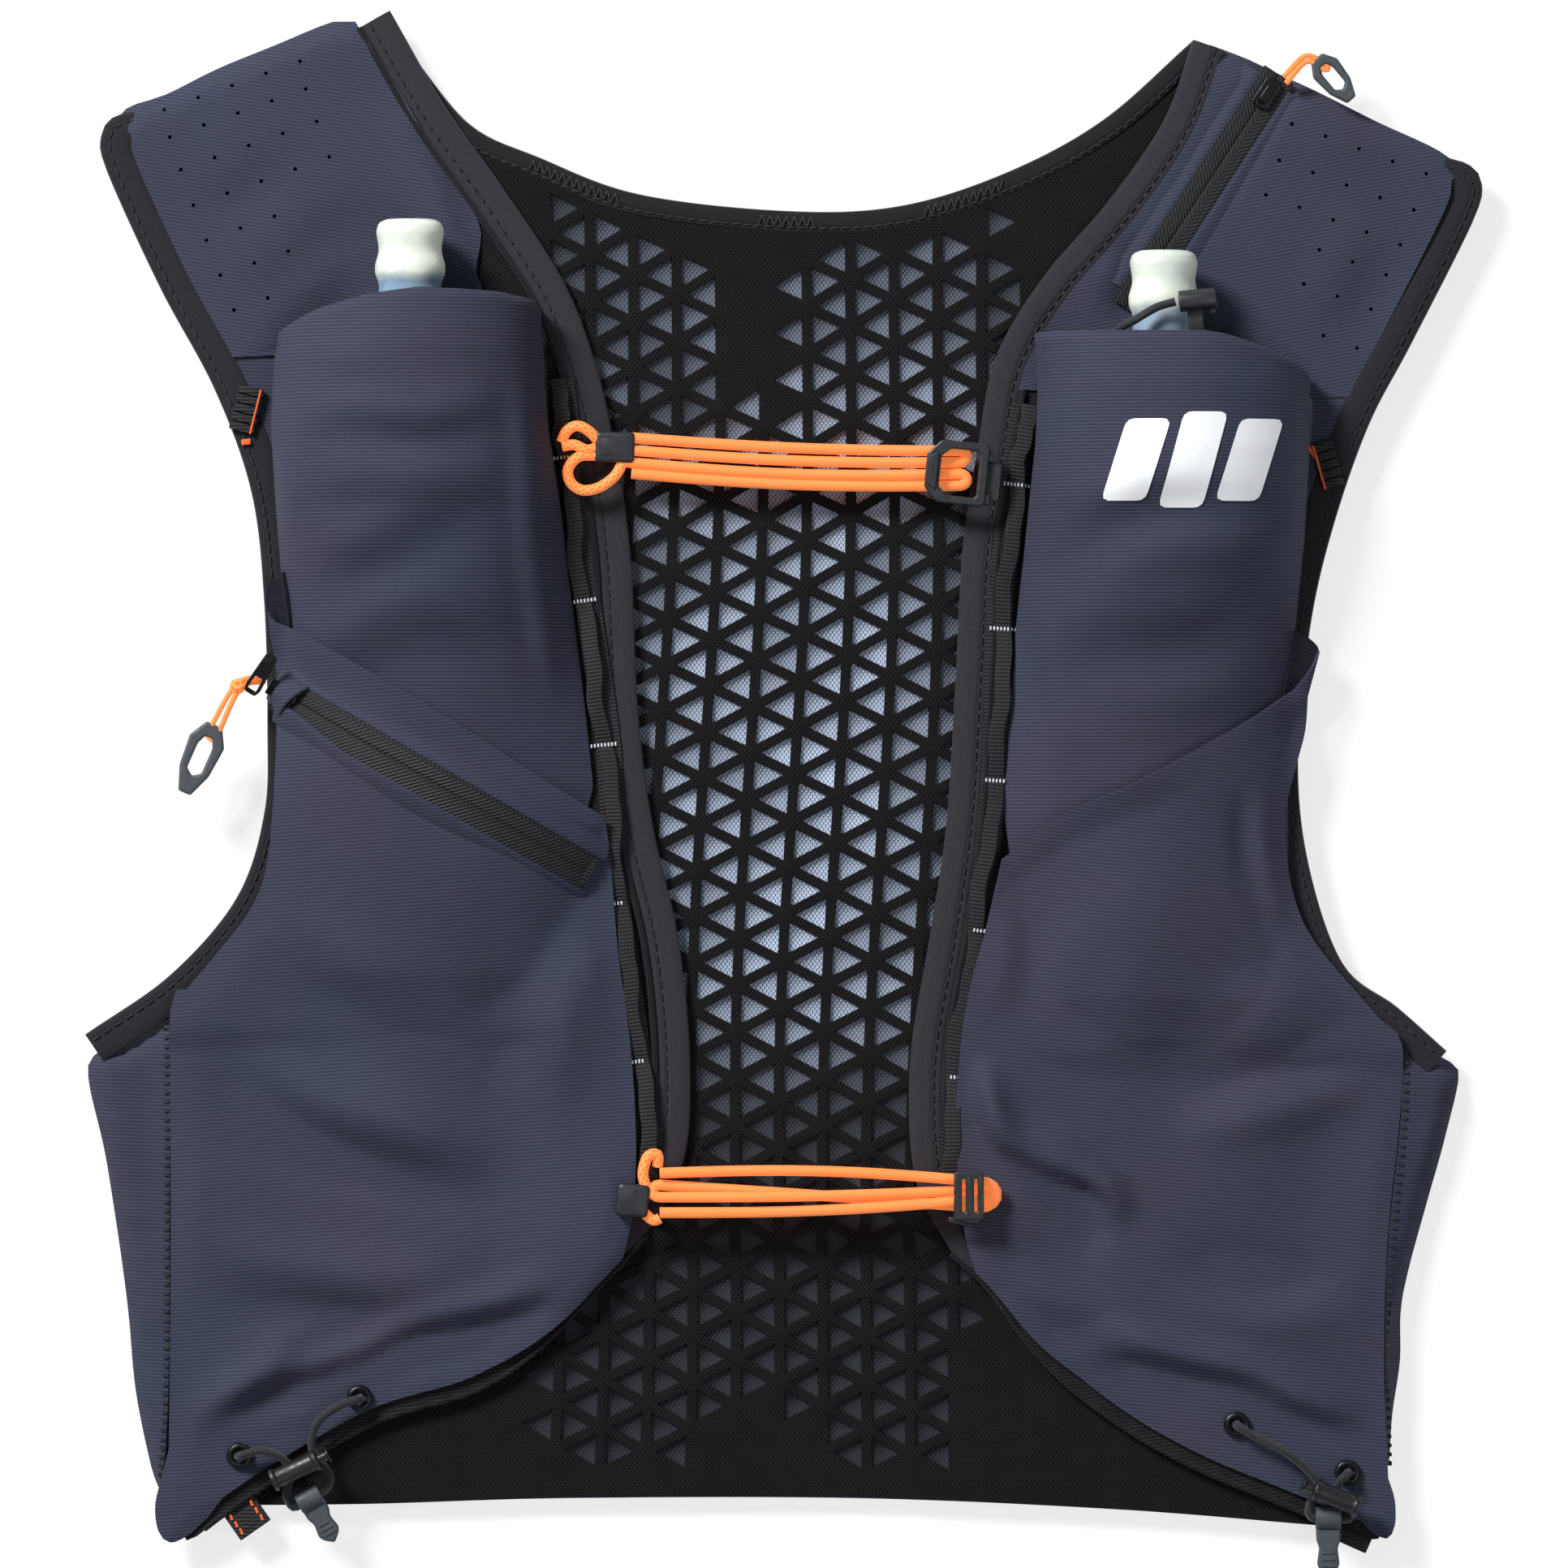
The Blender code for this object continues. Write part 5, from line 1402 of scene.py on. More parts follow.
def make_lower_pocket(side):
    """The big chest pocket of one side, whose mouth stands a little off the flask pocket."""
    if side == "left":
        mouth = smooth(LEFT_MOUTH, 2.5)
        outline = mouth + smooth(((-47.5, -20), (-45.5, -45), (-42, -72), (-40.5, -100), (-41.5, -119)), 3)
        outline += [p for p in hem_line("left", 0.0, -1.8) if -156 < p.x < -43]
        outline += smooth(((-158, -201), (-163.5, -205.8), (-168.2, -207.6), (-171.4, -204.4), (-172.2, -197),
                           (-170.2, -189), (-168.5, -182)), 2)
        outline += smooth(((-168.3, -165), (-168.0, -120), (-168.0, -62), (-163.5, -56), (-154.2, -45),
                           (-146.2, -34.5), (-142, -24.5), (-140.2, -12), (-139.3, 1.4), (-138.7, 15),
                           (-138.8, 30), (-140.4, 40)), 3)
        material = FABRIC_LOWER_LEFT
    else:
        mouth = smooth(RIGHT_MOUTH, 2.5)
        outline = mouth + smooth(((55.5, -38), (49.5, -62), (47, -90), (48.0, -114), (50.5, -128)), 3)
        outline += [p for p in hem_line("right", 0.0, -1.8) if 52 < p.x < 158]
        outline += smooth(((161, -205), (165, -206.6), (167.2, -203), (167.2, -196), (165.4, -190)), 2)
        outline += smooth(((164.8, -178), (164.2, -157), (164.9, -130), (166.4, -112), (168.5, -92),
                           (169, -71), (163.3, -64.5), (156.3, -56.5), (147.3, -46), (142, -37.6),
                           (138.8, -28), (137.5, -18.6), (137.4, -6.6), (140.2, 5.4), (142.6, 14.8),
                           (143.2, 24)), 3)
        material = FABRIC_LOWER_RIGHT
    rim = outline + [outline[0]]
    hem = smooth(EDGES[side][3], 4)

    def height(x, y):
        edge = np.clip(distance_to(rim, x, y)[0] / 7, 0, 1)
        for eye_x, eye_y in CALM[side]:
            edge = edge * (1 - np.exp(-(np.hypot(x - eye_x, y - eye_y) / 13) ** 4))
        to_hem = distance_to(hem, x, y)[0]
        roll = 0.9 * np.clip(1 - to_hem / 2.5, 0, 1) ** 2 + 0.3 * np.exp(-((to_hem - 7) / 0.9) ** 2)
        return (chest_height(side, x, y) + 1.0 + np.maximum(lower_folds(side, x, y), -1.4) * edge + 0.7 * edge
                + flap_lift(x, y, mouth) - roll)
    sheet_object(f"lower_pocket_{side}_visual", outline, height, 2.3, [material], "vest",
                 [f"lower_pocket_{side}"], 0.9)


make_back()
for side_name in ("left", "right"):
    make_strap(side_name)
    make_front_panel(side_name)
    make_bindings(side_name)
    make_side_panel(side_name)
    make_flask_pocket(side_name)
    make_pocket_corner(side_name)
for side_name in ("left", "right"):
    make_lower_pocket(side_name)


# Hardware helpers.


def outline_plate(loops, thickness, bevel, matrix, segments=2):
    """Vertices and faces of a flat moulded plate with rounded edges, set in place by the matrix."""
    data = bpy.data.curves.new("plate", "CURVE")
    data.dimensions = "2D"
    data.fill_mode = "BOTH"
    data.extrude = (thickness / 2 - bevel) * MM
    data.bevel_depth = bevel * MM
    data.bevel_resolution = segments
    data.offset = -bevel * MM
    for loop in loops:
        spline = data.splines.new("POLY")
        spline.points.add(len(loop) - 1)
        for point, place in zip(spline.points, loop):
            point.co = (place[0] * MM, place[1] * MM, 0, 1)
        spline.use_cyclic_u = True
    holder = bpy.data.objects.new("plate", data)
    SCENE.collection.objects.link(holder)
    bpy.context.view_layer.update()
    mesh = bpy.data.meshes.new_from_object(holder.evaluated_get(bpy.context.evaluated_depsgraph_get()))
    bpy.data.objects.remove(holder)
    points = [matrix @ (v.co / MM) for v in mesh.vertices]
    faces = [tuple(p.vertices) for p in mesh.polygons]
    bpy.data.meshes.remove(mesh)
    return points, faces


def rounded(corners, radius, count=4):
    """The outline with each corner cut to a small arc."""
    made = []
    for index, corner in enumerate(corners):
        corner = Vector(corner)
        before, after = Vector(corners[index - 1]), Vector(corners[(index + 1) % len(corners)])
        reach = min(radius, (before - corner).length * 0.45, (after - corner).length * 0.45)
        a = corner + (before - corner).normalized() * reach
        b = corner + (after - corner).normalized() * reach
        for step in range(count + 1):
            t = step / count
            made.append(a * (1 - t) ** 2 + corner * 2 * t * (1 - t) + b * t ** 2)
    return made


def placed(place, angle=0.0, tilt=None):
    matrix = Matrix.Translation(Vector(place)) @ Matrix.Rotation(math.radians(angle), 4, "Z")
    return matrix @ tilt if tilt else matrix


def add_turned(builder, profile, place, axis, slot=0, steps=40, ridge=None):
    """Turns a (radius, height) profile round the axis; ridge(angle, height) scales the radius."""
    turn = Vector(axis).to_track_quat("Z", "Y").to_matrix()
    points, places, faces = [], [], []
    for index in range(steps):
        angle = 2 * math.pi * index / steps
        for r, h in profile:
            scale = ridge(angle, h) if ridge else 1.0
            points.append(Vector(place) + turn @ Vector((r * scale * math.cos(angle),
                                                         r * scale * math.sin(angle), h)))
            places.append((angle * 8, h))
    count = len(profile)
    for index in range(steps):
        for corner in range(count - 1):
            a, b = index * count + corner, ((index + 1) % steps) * count + corner
            faces.append((a, b, b + 1, a + 1))
    builder.add(points, faces, slot, places)


def softened(profile, radius=0.35):
    """The turned profile with its corners rounded."""
    made = [profile[0]]
    for before, corner, after in zip(profile, profile[1:], profile[2:]):
        b, c, a = Vector(before), Vector(corner), Vector(after)
        reach = min(radius, (b - c).length * 0.4, (a - c).length * 0.4)
        for t in (0.0, 0.33, 0.67, 1.0):
            p = (c + (b - c).normalized() * reach) * (1 - t) ** 2 + c * 2 * t * (1 - t) + \
                (c + (a - c).normalized() * reach) * t ** 2
            made.append((p.x, p.y))
    return made + [profile[-1]]


def add_box(builder, centre, size, angle, slot=0, bevel=0.8, segments=3, tilt=None):
    shape = bmesh.new()
    bmesh.ops.create_cube(shape, size=1)
    bmesh.ops.scale(shape, vec=size, verts=shape.verts)
    bmesh.ops.bevel(shape, geom=shape.edges[:], offset=bevel, segments=segments, affect="EDGES", profile=0.6)
    matrix = placed(centre, angle, tilt)
    shape.verts.ensure_lookup_table()
    builder.add([matrix @ v.co for v in shape.verts], [[v.index for v in f.verts] for f in shape.faces], slot)
    shape.free()


def cord_object(name, path, diameter, material, body, replaces, sides=5):
    data = bpy.data.curves.new(name, "CURVE")
    data.dimensions = "3D"
    data.bevel_depth = diameter / 2 * MM
    data.bevel_resolution = sides
    data.use_fill_caps = True
    spline = data.splines.new("POLY")
    spline.points.add(len(path) - 1)
    for point, place in zip(spline.points, path):
        point.co = (*(Vector(place) * MM), 1)
    spline.use_smooth = True
    data.materials.append(material)
    return place_piece(name, data, body, replaces)


# Cords that the hem locks, zip pulls and valve hook run on.

LOCK_LOW = 13.6
LOCK_HIGH = 14.6
LOCK_LIFT = 18.1
HEM_CORD = 2.3
RETENTION_CORD = 2.3
PULL_CORD = 1.5
HEM_ROUTES = {
    "left": ((-149.1, -183.7, 11.8), (-148.8, -183.6, LOCK_HIGH), (-142.7, -182.2, LOCK_HIGH),
             (-136.9, -184.6, LOCK_LOW), (-134.6, -188.6, LOCK_LOW), (-136.2, -193.4, LOCK_LOW),
             (-134.2, -197.7, LOCK_LOW), (-129.8, -195.2, LOCK_LOW), (-125.4, -192.7, LOCK_LOW),
             (-124.2, -189.2, LOCK_LOW), (-126.8, -185.2, LOCK_LOW), (-129.2, -181.0, LOCK_LOW),
             (-127.6, -174.5, LOCK_HIGH), (-121.5, -169.8, LOCK_HIGH), (-116.6, -168.1, LOCK_HIGH),
             (-116.2, -167.9, 11.8)),
    "right": ((154.2, -188.3, 11.8), (153.9, -188.5, LOCK_HIGH), (151.4, -191.2, LOCK_HIGH),
              (151.2, -195.0, LOCK_LOW), (155.6, -198.2, LOCK_LOW), (154.4, -200.8, LOCK_LOW),
              (148.8, -200.6, LOCK_LOW), (144.2, -200.4, LOCK_LOW), (143.6, -197.0, LOCK_LOW),
              (146.6, -192.4, LOCK_LOW), (143.0, -187.4, LOCK_LOW), (136.4, -182.2, LOCK_HIGH),
              (128.8, -178.4, LOCK_HIGH), (124.2, -175.5, LOCK_HIGH), (123.8, -175.2, 11.8)),
}
LOCKS = {"left": ((-139.9, -190.2, LOCK_LIFT), (-124.1, -182.8, LOCK_LIFT)),
         "right": ((156.8, -197.3, LOCK_LIFT), (141.4, -191.0, LOCK_LIFT))}
EYELETS = {"left": ((-149.1, -183.7), (-116.2, -167.9)), "right": ((154.2, -188.3), (123.8, -175.2))}
TABS = {"left": ((-129.8, -195.2, LOCK_LOW), -60), "right": ((148.8, -200.6, LOCK_LOW), -90)}


def make_hem_cord(side):
    path = smooth(HEM_ROUTES[side], 1.2)
    cord = cord_object(f"hem_cord_{side}_visual", path, HEM_CORD, BLACK_CORD, "vest",
                       [f"hem_cord_{side}"])


def make_retention_cord():
    path = smooth(((84.5, 113.5, 26), (87.5, 118.5, 30.5), (90.5, 123.4, 33.4), (95, 126, 34.0),
                   (101, 129.5, 34.2), (106.2, 131.1, 34.5)), 1.2)
    cord = cord_object("retention_cord_visual", path, RETENTION_CORD, BLACK_CORD, "flask_right",
                       ["retention_cord"])


def doubled_cord(start, middle, end, spread, diameter):
    """A cord loop laid double: out from the start, round the end and back, drawn together at the middle."""
    start, middle, end = Vector(start), Vector(middle), Vector(end)
    side = (end - start).cross(Vector((0, 0, 1))).normalized()
    out = [start + side * spread * 0.6, middle + side * diameter * 0.52, end + side * spread * 0.8]
    tip = end + (end - middle).normalized() * spread
    back = [end - side * spread * 0.8, middle - side * diameter * 0.52, start - side * spread * 0.6]
    return smooth(out + [tip] + back, 0.6)


def make_pull_cords():
    """The doubled cords on the two zips' pulls, and the knot of the chest pull."""
    chest = doubled_cord((-142.4, 28.9, 18.6), (-149.2, 26.6, 18.0), (-156.0, 14.0, 15.8), 1.6, PULL_CORD)
    cord = cord_object("chest_zip_cord_visual", chest, PULL_CORD, ORANGE, "chest_pull",
                       ["chest_zip_cord"])
    shoulder = doubled_cord((136.9, 192.6, 13.2), (142.6, 198.4, 13.4), (147.3, 196.6, 12.8), 1.6, PULL_CORD)
    cord = cord_object("shoulder_zip_cord_visual", shoulder, PULL_CORD, ORANGE, "shoulder_pull",
                       ["shoulder_zip_cord"])
    knots = Builder()
    for turn in (0, 60, 120):
        axis = Matrix.Rotation(math.radians(turn), 3, "X") @ Vector((0, 0.3, 1))
        add_ring(knots, Vector((-149.2, 26.8, 18.0)), axis, PULL_CORD, PULL_CORD)
    knots.object("chest_pull_knot", [ORANGE], "chest_pull")


def add_ring(builder, place, axis, radius, thickness, slot=0, steps=20, start=0.0, sweep=360.0):
    turn = Vector(axis).to_track_quat("Z", "Y").to_matrix()
    count = steps if sweep >= 360 else steps + 1
    path = [Vector(place) + turn @ Vector((radius * math.cos(math.radians(start + sweep * i / steps)),
                                           radius * math.sin(math.radians(start + sweep * i / steps)), 0))
            for i in range(count)]
    add_sweep(builder, path, round_section(thickness, 10), slot, up=turn @ Vector((0, 0, 1)),
              closed=sweep >= 360)


def strand(left, right, left_x, right_x, height, sag, hump=(0.5, 0.0, 1.0)):
    """A strand of bungee from its left end to its right end, which humps over another where they cross."""
    place, rise, width = hump
    points = []
    for index in range(25):
        t = index / 24
        z = height + rise * math.exp(-((t - place) / width) ** 2)
        points.append(Vector((left_x + (right_x - left_x) * t,
                              left + (right - left) * t - sag * math.sin(math.pi * t), z)))
    return points


def laid_route(strands):
    """One bungee laid back and forth, with a half turn joining each strand to the next."""
    route = []
    for index, line in enumerate(strands):
        line = line if index % 2 == 0 else line[::-1]
        if route:
            a, b = route[-1], line[0]
            out = 1 if index % 2 else -1
            middle, radius = (a + b) / 2, (a - b).length / 2
            for angle in (65, 40, 15, -15, -40, -65):
                turn = math.radians(angle)
                way = (a - b) / 2
                route.append(middle + way * math.sin(turn)
                             + Vector((out * radius * 1.25 * math.cos(turn), 0, 0)))
        route += line
    return route


BUNGEE = 2.95
UPPER_HEIGHT = 13.4
LOWER_HEIGHT = 15.3


def make_bungees():
    """The two chest straps' bungees, each four strands laid side by side."""
    upper = laid_route([strand(94.8, 91.2, -41.8, 48.0, UPPER_HEIGHT, 1.0),
                        strand(91.4, 88.0, -42.2, 48.0, UPPER_HEIGHT, 1.2),
                        strand(88.0, 84.9, -42.2, 48.0, UPPER_HEIGHT, 1.6),
                        strand(85.0, 81.7, -41.8, 48.0, UPPER_HEIGHT, 1.4)])
    cord = cord_object("upper_strap_bungee_visual", upper, BUNGEE, ORANGE, "upper_strap",
                       ["upper_strap_bungee"])
    low, high = LOWER_HEIGHT - 0.6, LOWER_HEIGHT + 1.3
    lower = laid_route([strand(-106.2, -108.5, -34.0, 53.5, high, -1.7),
                        strand(-109.5, -115.7, -34.0, 53.5, low, -0.2),
                        strand(-112.8, -110.9, -34.0, 53.5, low, 0.5, (0.4, 3.7, 0.36)),
                        strand(-117.0, -113.3, -34.0, 53.5, high, 1.2, (0.76, 1.7, 0.3))])
    cord = cord_object("lower_strap_bungee_visual", lower, BUNGEE, ORANGE, "lower_strap",
                       ["lower_strap_bungee"])


# Chest straps' crimps, hook and buckle.


def make_strap_hardware():
    """The crimps at the left ends of the two bungees, and the hook and buckle at their right ends."""
    crimp = Builder()
    add_box(crimp, (-46.3, 92.2, UPPER_HEIGHT), (10.8, 8.4, 4.6), -2, 0, 1.3, 4)
    add_box(crimp, (-46.3, 92.2, UPPER_HEIGHT + 2.15), (7.8, 4.8, 0.7), -2, 0, 0.3, 2)
    for path in (((-50.5, 93.6, 13.6), (-53.4, 96.6, 14.9), (-56.6, 98.0, 15.0), (-59.4, 96.6, 14.8),
                  (-60.9, 93.6, 14.4)),
                 ((-44.0, 88.5, 13.0), (-46.2, 84.4, 14.4), (-50.5, 81.2, 14.8), (-55.2, 80.4, 15.0),
                  (-58.4, 82.6, 15.0), (-59.0, 86.4, 14.9), (-56.0, 89.6, 14.8), (-51.0, 90.0, 13.6)),
                 ((-50.8, 92.2, 13.2), (-54.0, 91.4, 14.7), (-57.4, 92.8, 14.9), (-60.6, 92.4, 14.6))):
        add_sweep(crimp, smooth(path, 0.8), round_section(BUNGEE, 14), 1)
    crimp.object("upper_strap_crimp_visual", [PLASTIC, ORANGE], "upper_anchor",
                 ["upper_strap_crimp"])
    sleeve = Builder()
    add_box(sleeve, (-41.4, -113.6, LOWER_HEIGHT), (9.0, 9.0, 5.0), -6, 0, 1.6, 4)
    add_box(sleeve, (-41.4, -113.6, LOWER_HEIGHT + 2.35), (6.0, 6.0, 0.6), -6, 0, 0.28, 2)
    for path in (((-37.6, -110.8, 15.2), (-38.6, -106.2, 15.8), (-37.2, -101.6, 15.6), (-34.6, -101.2, 15.0),
                  (-34.6, -104.4, 14.2)),
                 ((-38.4, -117.0, 15.0), (-35.8, -119.2, 15.0), (-34.0, -118.6, 15.0))):
        add_sweep(sleeve, smooth(path, 0.8), round_section(BUNGEE, 14), 1)
    sleeve.object("lower_strap_crimp_visual", [PLASTIC, ORANGE], "lower_anchor",
                  ["lower_strap_crimp"])
    make_hook()
    make_buckle()


def make_hook():
    """The upper strap's moulded hook, a slotted frame with a tongue."""
    lift = UPPER_HEIGHT + 3.3
    matrix = placed((46.8, 85.2, lift), -6)
    frame_loop = rounded([(-8.2, -4.5), (-8.2, 4.5), (-4.6, 8.6), (7.8, 8.6), (8.8, 7.6), (8.8, -7.6),
                          (7.8, -8.6), (-4.6, -8.6)], 0.7, 3)
    slot = rounded([(-4.2, -4.2), (-1.8, -6.4), (5.6, -6.4), (6.2, -5.8), (6.2, 5.8), (5.6, 6.4), (-1.8, 6.4),
                    (-4.2, 4.2)][::-1], 0.6, 3)
    builder = Builder()
    builder.add(*outline_plate([frame_loop, slot], 3.0, 0.5, matrix))
    face = rounded([(-7.4, -4.0), (-7.4, 4.0), (-5.0, 5.2), (-5.0, -5.2)], 0.4, 2)
    builder.add(*outline_plate([face], 1.2, 0.3, matrix @ Matrix.Translation((0, 0, 1.5))))
    add_box(builder, matrix @ Vector((10.4, -1.5, -1.6)), (4.6, 10.5, 2.6), -6, 0, 0.8, 3)
    add_box(builder, matrix @ Vector((8.6, 5.2, -0.4)), (2.6, 3.0, 2.4), -6, 0, 0.6, 3)
    add_box(builder, matrix @ Vector((8.8, -6.4, -0.4)), (2.6, 3.0, 2.4), -6, 0, 0.6, 3)
    builder.object("upper_strap_hook_visual", [PLASTIC], "upper_strap",
                   ["upper_strap_hook"], 30)


def make_buckle():
    matrix = placed((50.4, -112.2, LOWER_HEIGHT + 4.4), 0)
    frame_loop = rounded([(-4.1, -6.6), (4.1, -6.6), (4.1, 6.6), (-4.1, 6.6)], 1.0, 3)
    first = rounded([(-1.9, -4.6), (-1.9, 4.6), (-0.9, 4.6), (-0.9, -4.6)], 0.3, 3)
    second = rounded([(1.4, -4.6), (1.4, 4.6), (2.4, 4.6), (2.4, -4.6)], 0.3, 3)
    builder = Builder()
    builder.add(*outline_plate([frame_loop, first, second], 3.0, 0.45, matrix))
    for x in (-3.4, 0.1, 3.4):
        add_box(builder, matrix @ Vector((x, 0, 1.3)), (1.1, 10.6, 0.9), 0, 0, 0.35, 2)
    add_box(builder, matrix @ Vector((-0.6, -6.6, -0.9)), (6.6, 1.8, 1.8), 0, 0, 0.5, 2)
    add_box(builder, matrix @ Vector((-3.6, -7.0, -1.4)), (4.2, 1.5, 1.3), -14, 0, 0.4, 2)
    builder.object("lower_strap_buckle_visual", [PLASTIC], "lower_strap",
                   ["lower_strap_buckle"], 30)


# Rails, loops and adjusters.

RAILS = {
    "left": ((-61, 111), (-58.4, 89.7), (-53.8, 50.3), (-48.2, 10.8), (-45.6, -32.6), (-39.8, -75.9),
             (-36, -115)),
    "right": ((65.5, 104), (62.4, 82.1), (58.6, 42.6), (57.4, 1.0), (53.1, -40.1), (46.8, -80.3), (47, -117)),
}


def make_rail(side):
    """A tape sewn down with a narrower tape looped along it, and a white bar of stitches at each crossing."""
    path = resampled(smooth(RAILS[side]), 1.2)
    tacks = [Vector(p) for p in RAILS[side][1:-1]]
    builder = Builder()
    base = crowned_section(7.0, TRIM_LOW, TRIM_LOW + 0.8, 0.1, 0.3)
    add_sweep(builder, path, [(s - 3.5, h) for s, h in base][::-1], 0)
    stops = [0] + [min(range(len(path)), key=lambda i, t=t: (path[i] - t).length)
                   for t in tacks] + [len(path) - 1]
    loose = []
    for index, point in enumerate(path):
        low, high = max(s for s in stops if s <= index), min([s for s in stops if s > index] or [len(path)])
        share = (index - low) / max(1, high - low)
        arch = math.sin(math.pi * share) ** 0.7 if 0 < share < 1 else 0.0
        wave = 0.9 * math.sin(share * 2 * math.pi) + 0.5 * math.sin(share * 5 * math.pi) * arch
        loose.append((point, TRIM_LOW + 0.9 + 1.9 * arch, wave))
    line = [Vector((p.x, p.y, z)) for p, z, _ in loose]
    lean = [0.55 * math.sin(i * 0.13) for i in range(len(line))]

    def section(index):
        wave = loose[index][2]
        share = min(1.0, max(-0.5, (line[index].y + 10) / 30))
        outward = -1.3 * share if side == "left" else 1.3 * share
        return [(s + 0.7 * wave + outward - 2.2, h + (s - 2.2) * 0.18 * lean[index])
                for s, h in crowned_section(4.4, 0.0, 0.75, 0.12, 0.3)][::-1]
    add_sweep(builder, line, section, 0)
    for tack in tacks:
        index = min(range(len(path)), key=lambda i: (path[i] - tack).length)
        along = (path[min(index + 1, len(path) - 1)] - path[index - 1]).normalized()
        across = Vector((-along.y, along.x, 0))
        shift = -0.8 if side == "left" else 0.8
        for step in range(-4, 5):
            centre = (Vector((tack.x, tack.y, TRIM_LOW + 1.75)) + across * (step * 0.95)
                      + Vector((shift, 0, 0)))
            if abs(step) > 2:
                centre.z = TRIM_LOW + 0.95 if abs(step) < 4 else TRIM_LOW + 0.1
            add_block(builder, centre, (along.x, along.y, 0), (1.1, 0.5, 0.3), 1)
            add_block(builder, centre + Vector((0, 0, 0.02)), across, (0.6, 0.35, 0.3), 1)
    builder.object(f"daisy_webbing_{side}_visual", [WEBBING, STITCH_WHITE], "vest",
                   [f"daisy_webbing_{side}"])


def make_adjusters():
    """The side adjusters and the pole loops of ribbed webbing, with their stitches."""
    for side, place, angle, width in (("left", (-147.2, 102.6), -14, 7), ("right", (148.9, 87.4), 16, 6)):
        sign = -1 if side == "left" else 1
        builder = Builder()
        turn = placed((*place, 0), angle)
        for index in range(5):
            add_box(builder, turn @ Vector((0, 5.2 - index * 2.55, TRIM_LOW + 0.95)), (width, 2.3, 1.7),
                    angle, 0, 0.45, 2)
        loop = [turn @ Vector((sign * -2.6, y, TRIM_LOW + 1.9 + 0.3 * math.sin(y)))
                for y in (6.2, 3, 0, -3, -6.2)]
        add_sweep(builder, smooth(loop, 1), round_section(0.6, 8), 1)
        tongue = turn @ Vector((sign * -2.0 if side == "left" else -3.2, -8.6 if side == "left" else 4.6,
                                TRIM_LOW + 0.9))
        add_box(builder, tongue, (2.6, 1.6, 0.9) if side == "left" else (1.2, 7.0, 1.0),
                angle + 20, 1, 0.35, 2)
        builder.object(f"side_adjuster_{side}_visual", [WEBBING, STITCH_ORANGE], "vest",
                       [f"side_adjuster_{side}"])
    for side, place, size, angle in (("left", (-147.4, -200.6, 7.4), (10, 9, 1.8), 35),
                                     ("right", (156.2, -205.4, 7.4), (10, 7, 1.8), -24)):
        builder = Builder()
        turn = placed(place, angle)
        rows = 7
        for index in range(rows):
            y = (index - (rows - 1) / 2) * size[1] / rows
            add_box(builder, turn @ Vector((0, y, 0.15 * math.sin(index))),
                    (size[0], size[1] / rows + 0.25, 1.7), angle,
                    0, 0.4, 2)
        if side == "left":
            for edge in (-1, 1):
                for index in range(3):
                    add_block(builder, turn @ Vector((edge * 3.4, -2.6 + index * 2.4, 0.9)),
                              turn.to_3x3() @ Vector((0.2, 1, 0)), (1.9, 0.8, 0.4), 1)
        builder.object(f"pole_loop_{side}_visual", [WEBBING, STITCH_ORANGE], "vest",
                       [f"pole_loop_{side}"])


# Zips.

CHEST_TAPE = 10.6
SHOULDER_TAPE = 9.6


def zip_centre():
    middle = ZIP_START + ZIP_ALONG * (ZIP_LENGTH / 2)
    return Vector((middle.x, middle.y, POCKET_BASE + ZIP_RISE + ZIP_END_LIFT + ZIP_TAPE_LIFT - ZIP_RADIUS))


def zip_place(along, lift=0.0, across=0.0):
    """A point on the chest zip: distance along it, height over the tape's underside, distance uphill."""
    angle = math.asin((along - ZIP_LENGTH / 2) / ZIP_RADIUS)
    radius = ZIP_RADIUS + lift
    middle = ZIP_START + ZIP_ALONG * (ZIP_LENGTH / 2)
    plan = middle + ZIP_ALONG * radius * math.sin(angle) + Vector((-ZIP_ALONG.y, ZIP_ALONG.x)) * across
    return Vector((plan.x, plan.y, zip_centre().z + radius * math.cos(angle)))


def zip_section(width):
    """A zip tape with a groove down its middle and one beside the coil under it."""
    grooves = ((width / 2, 0.45), (width / 2 - 2, 0.15), (width / 2 + 2, 0.15))
    return [(s - width / 2, h) for s, h in crowned_section(width, 0.0, 0.85, 0.35, 0.3, grooves)][::-1]


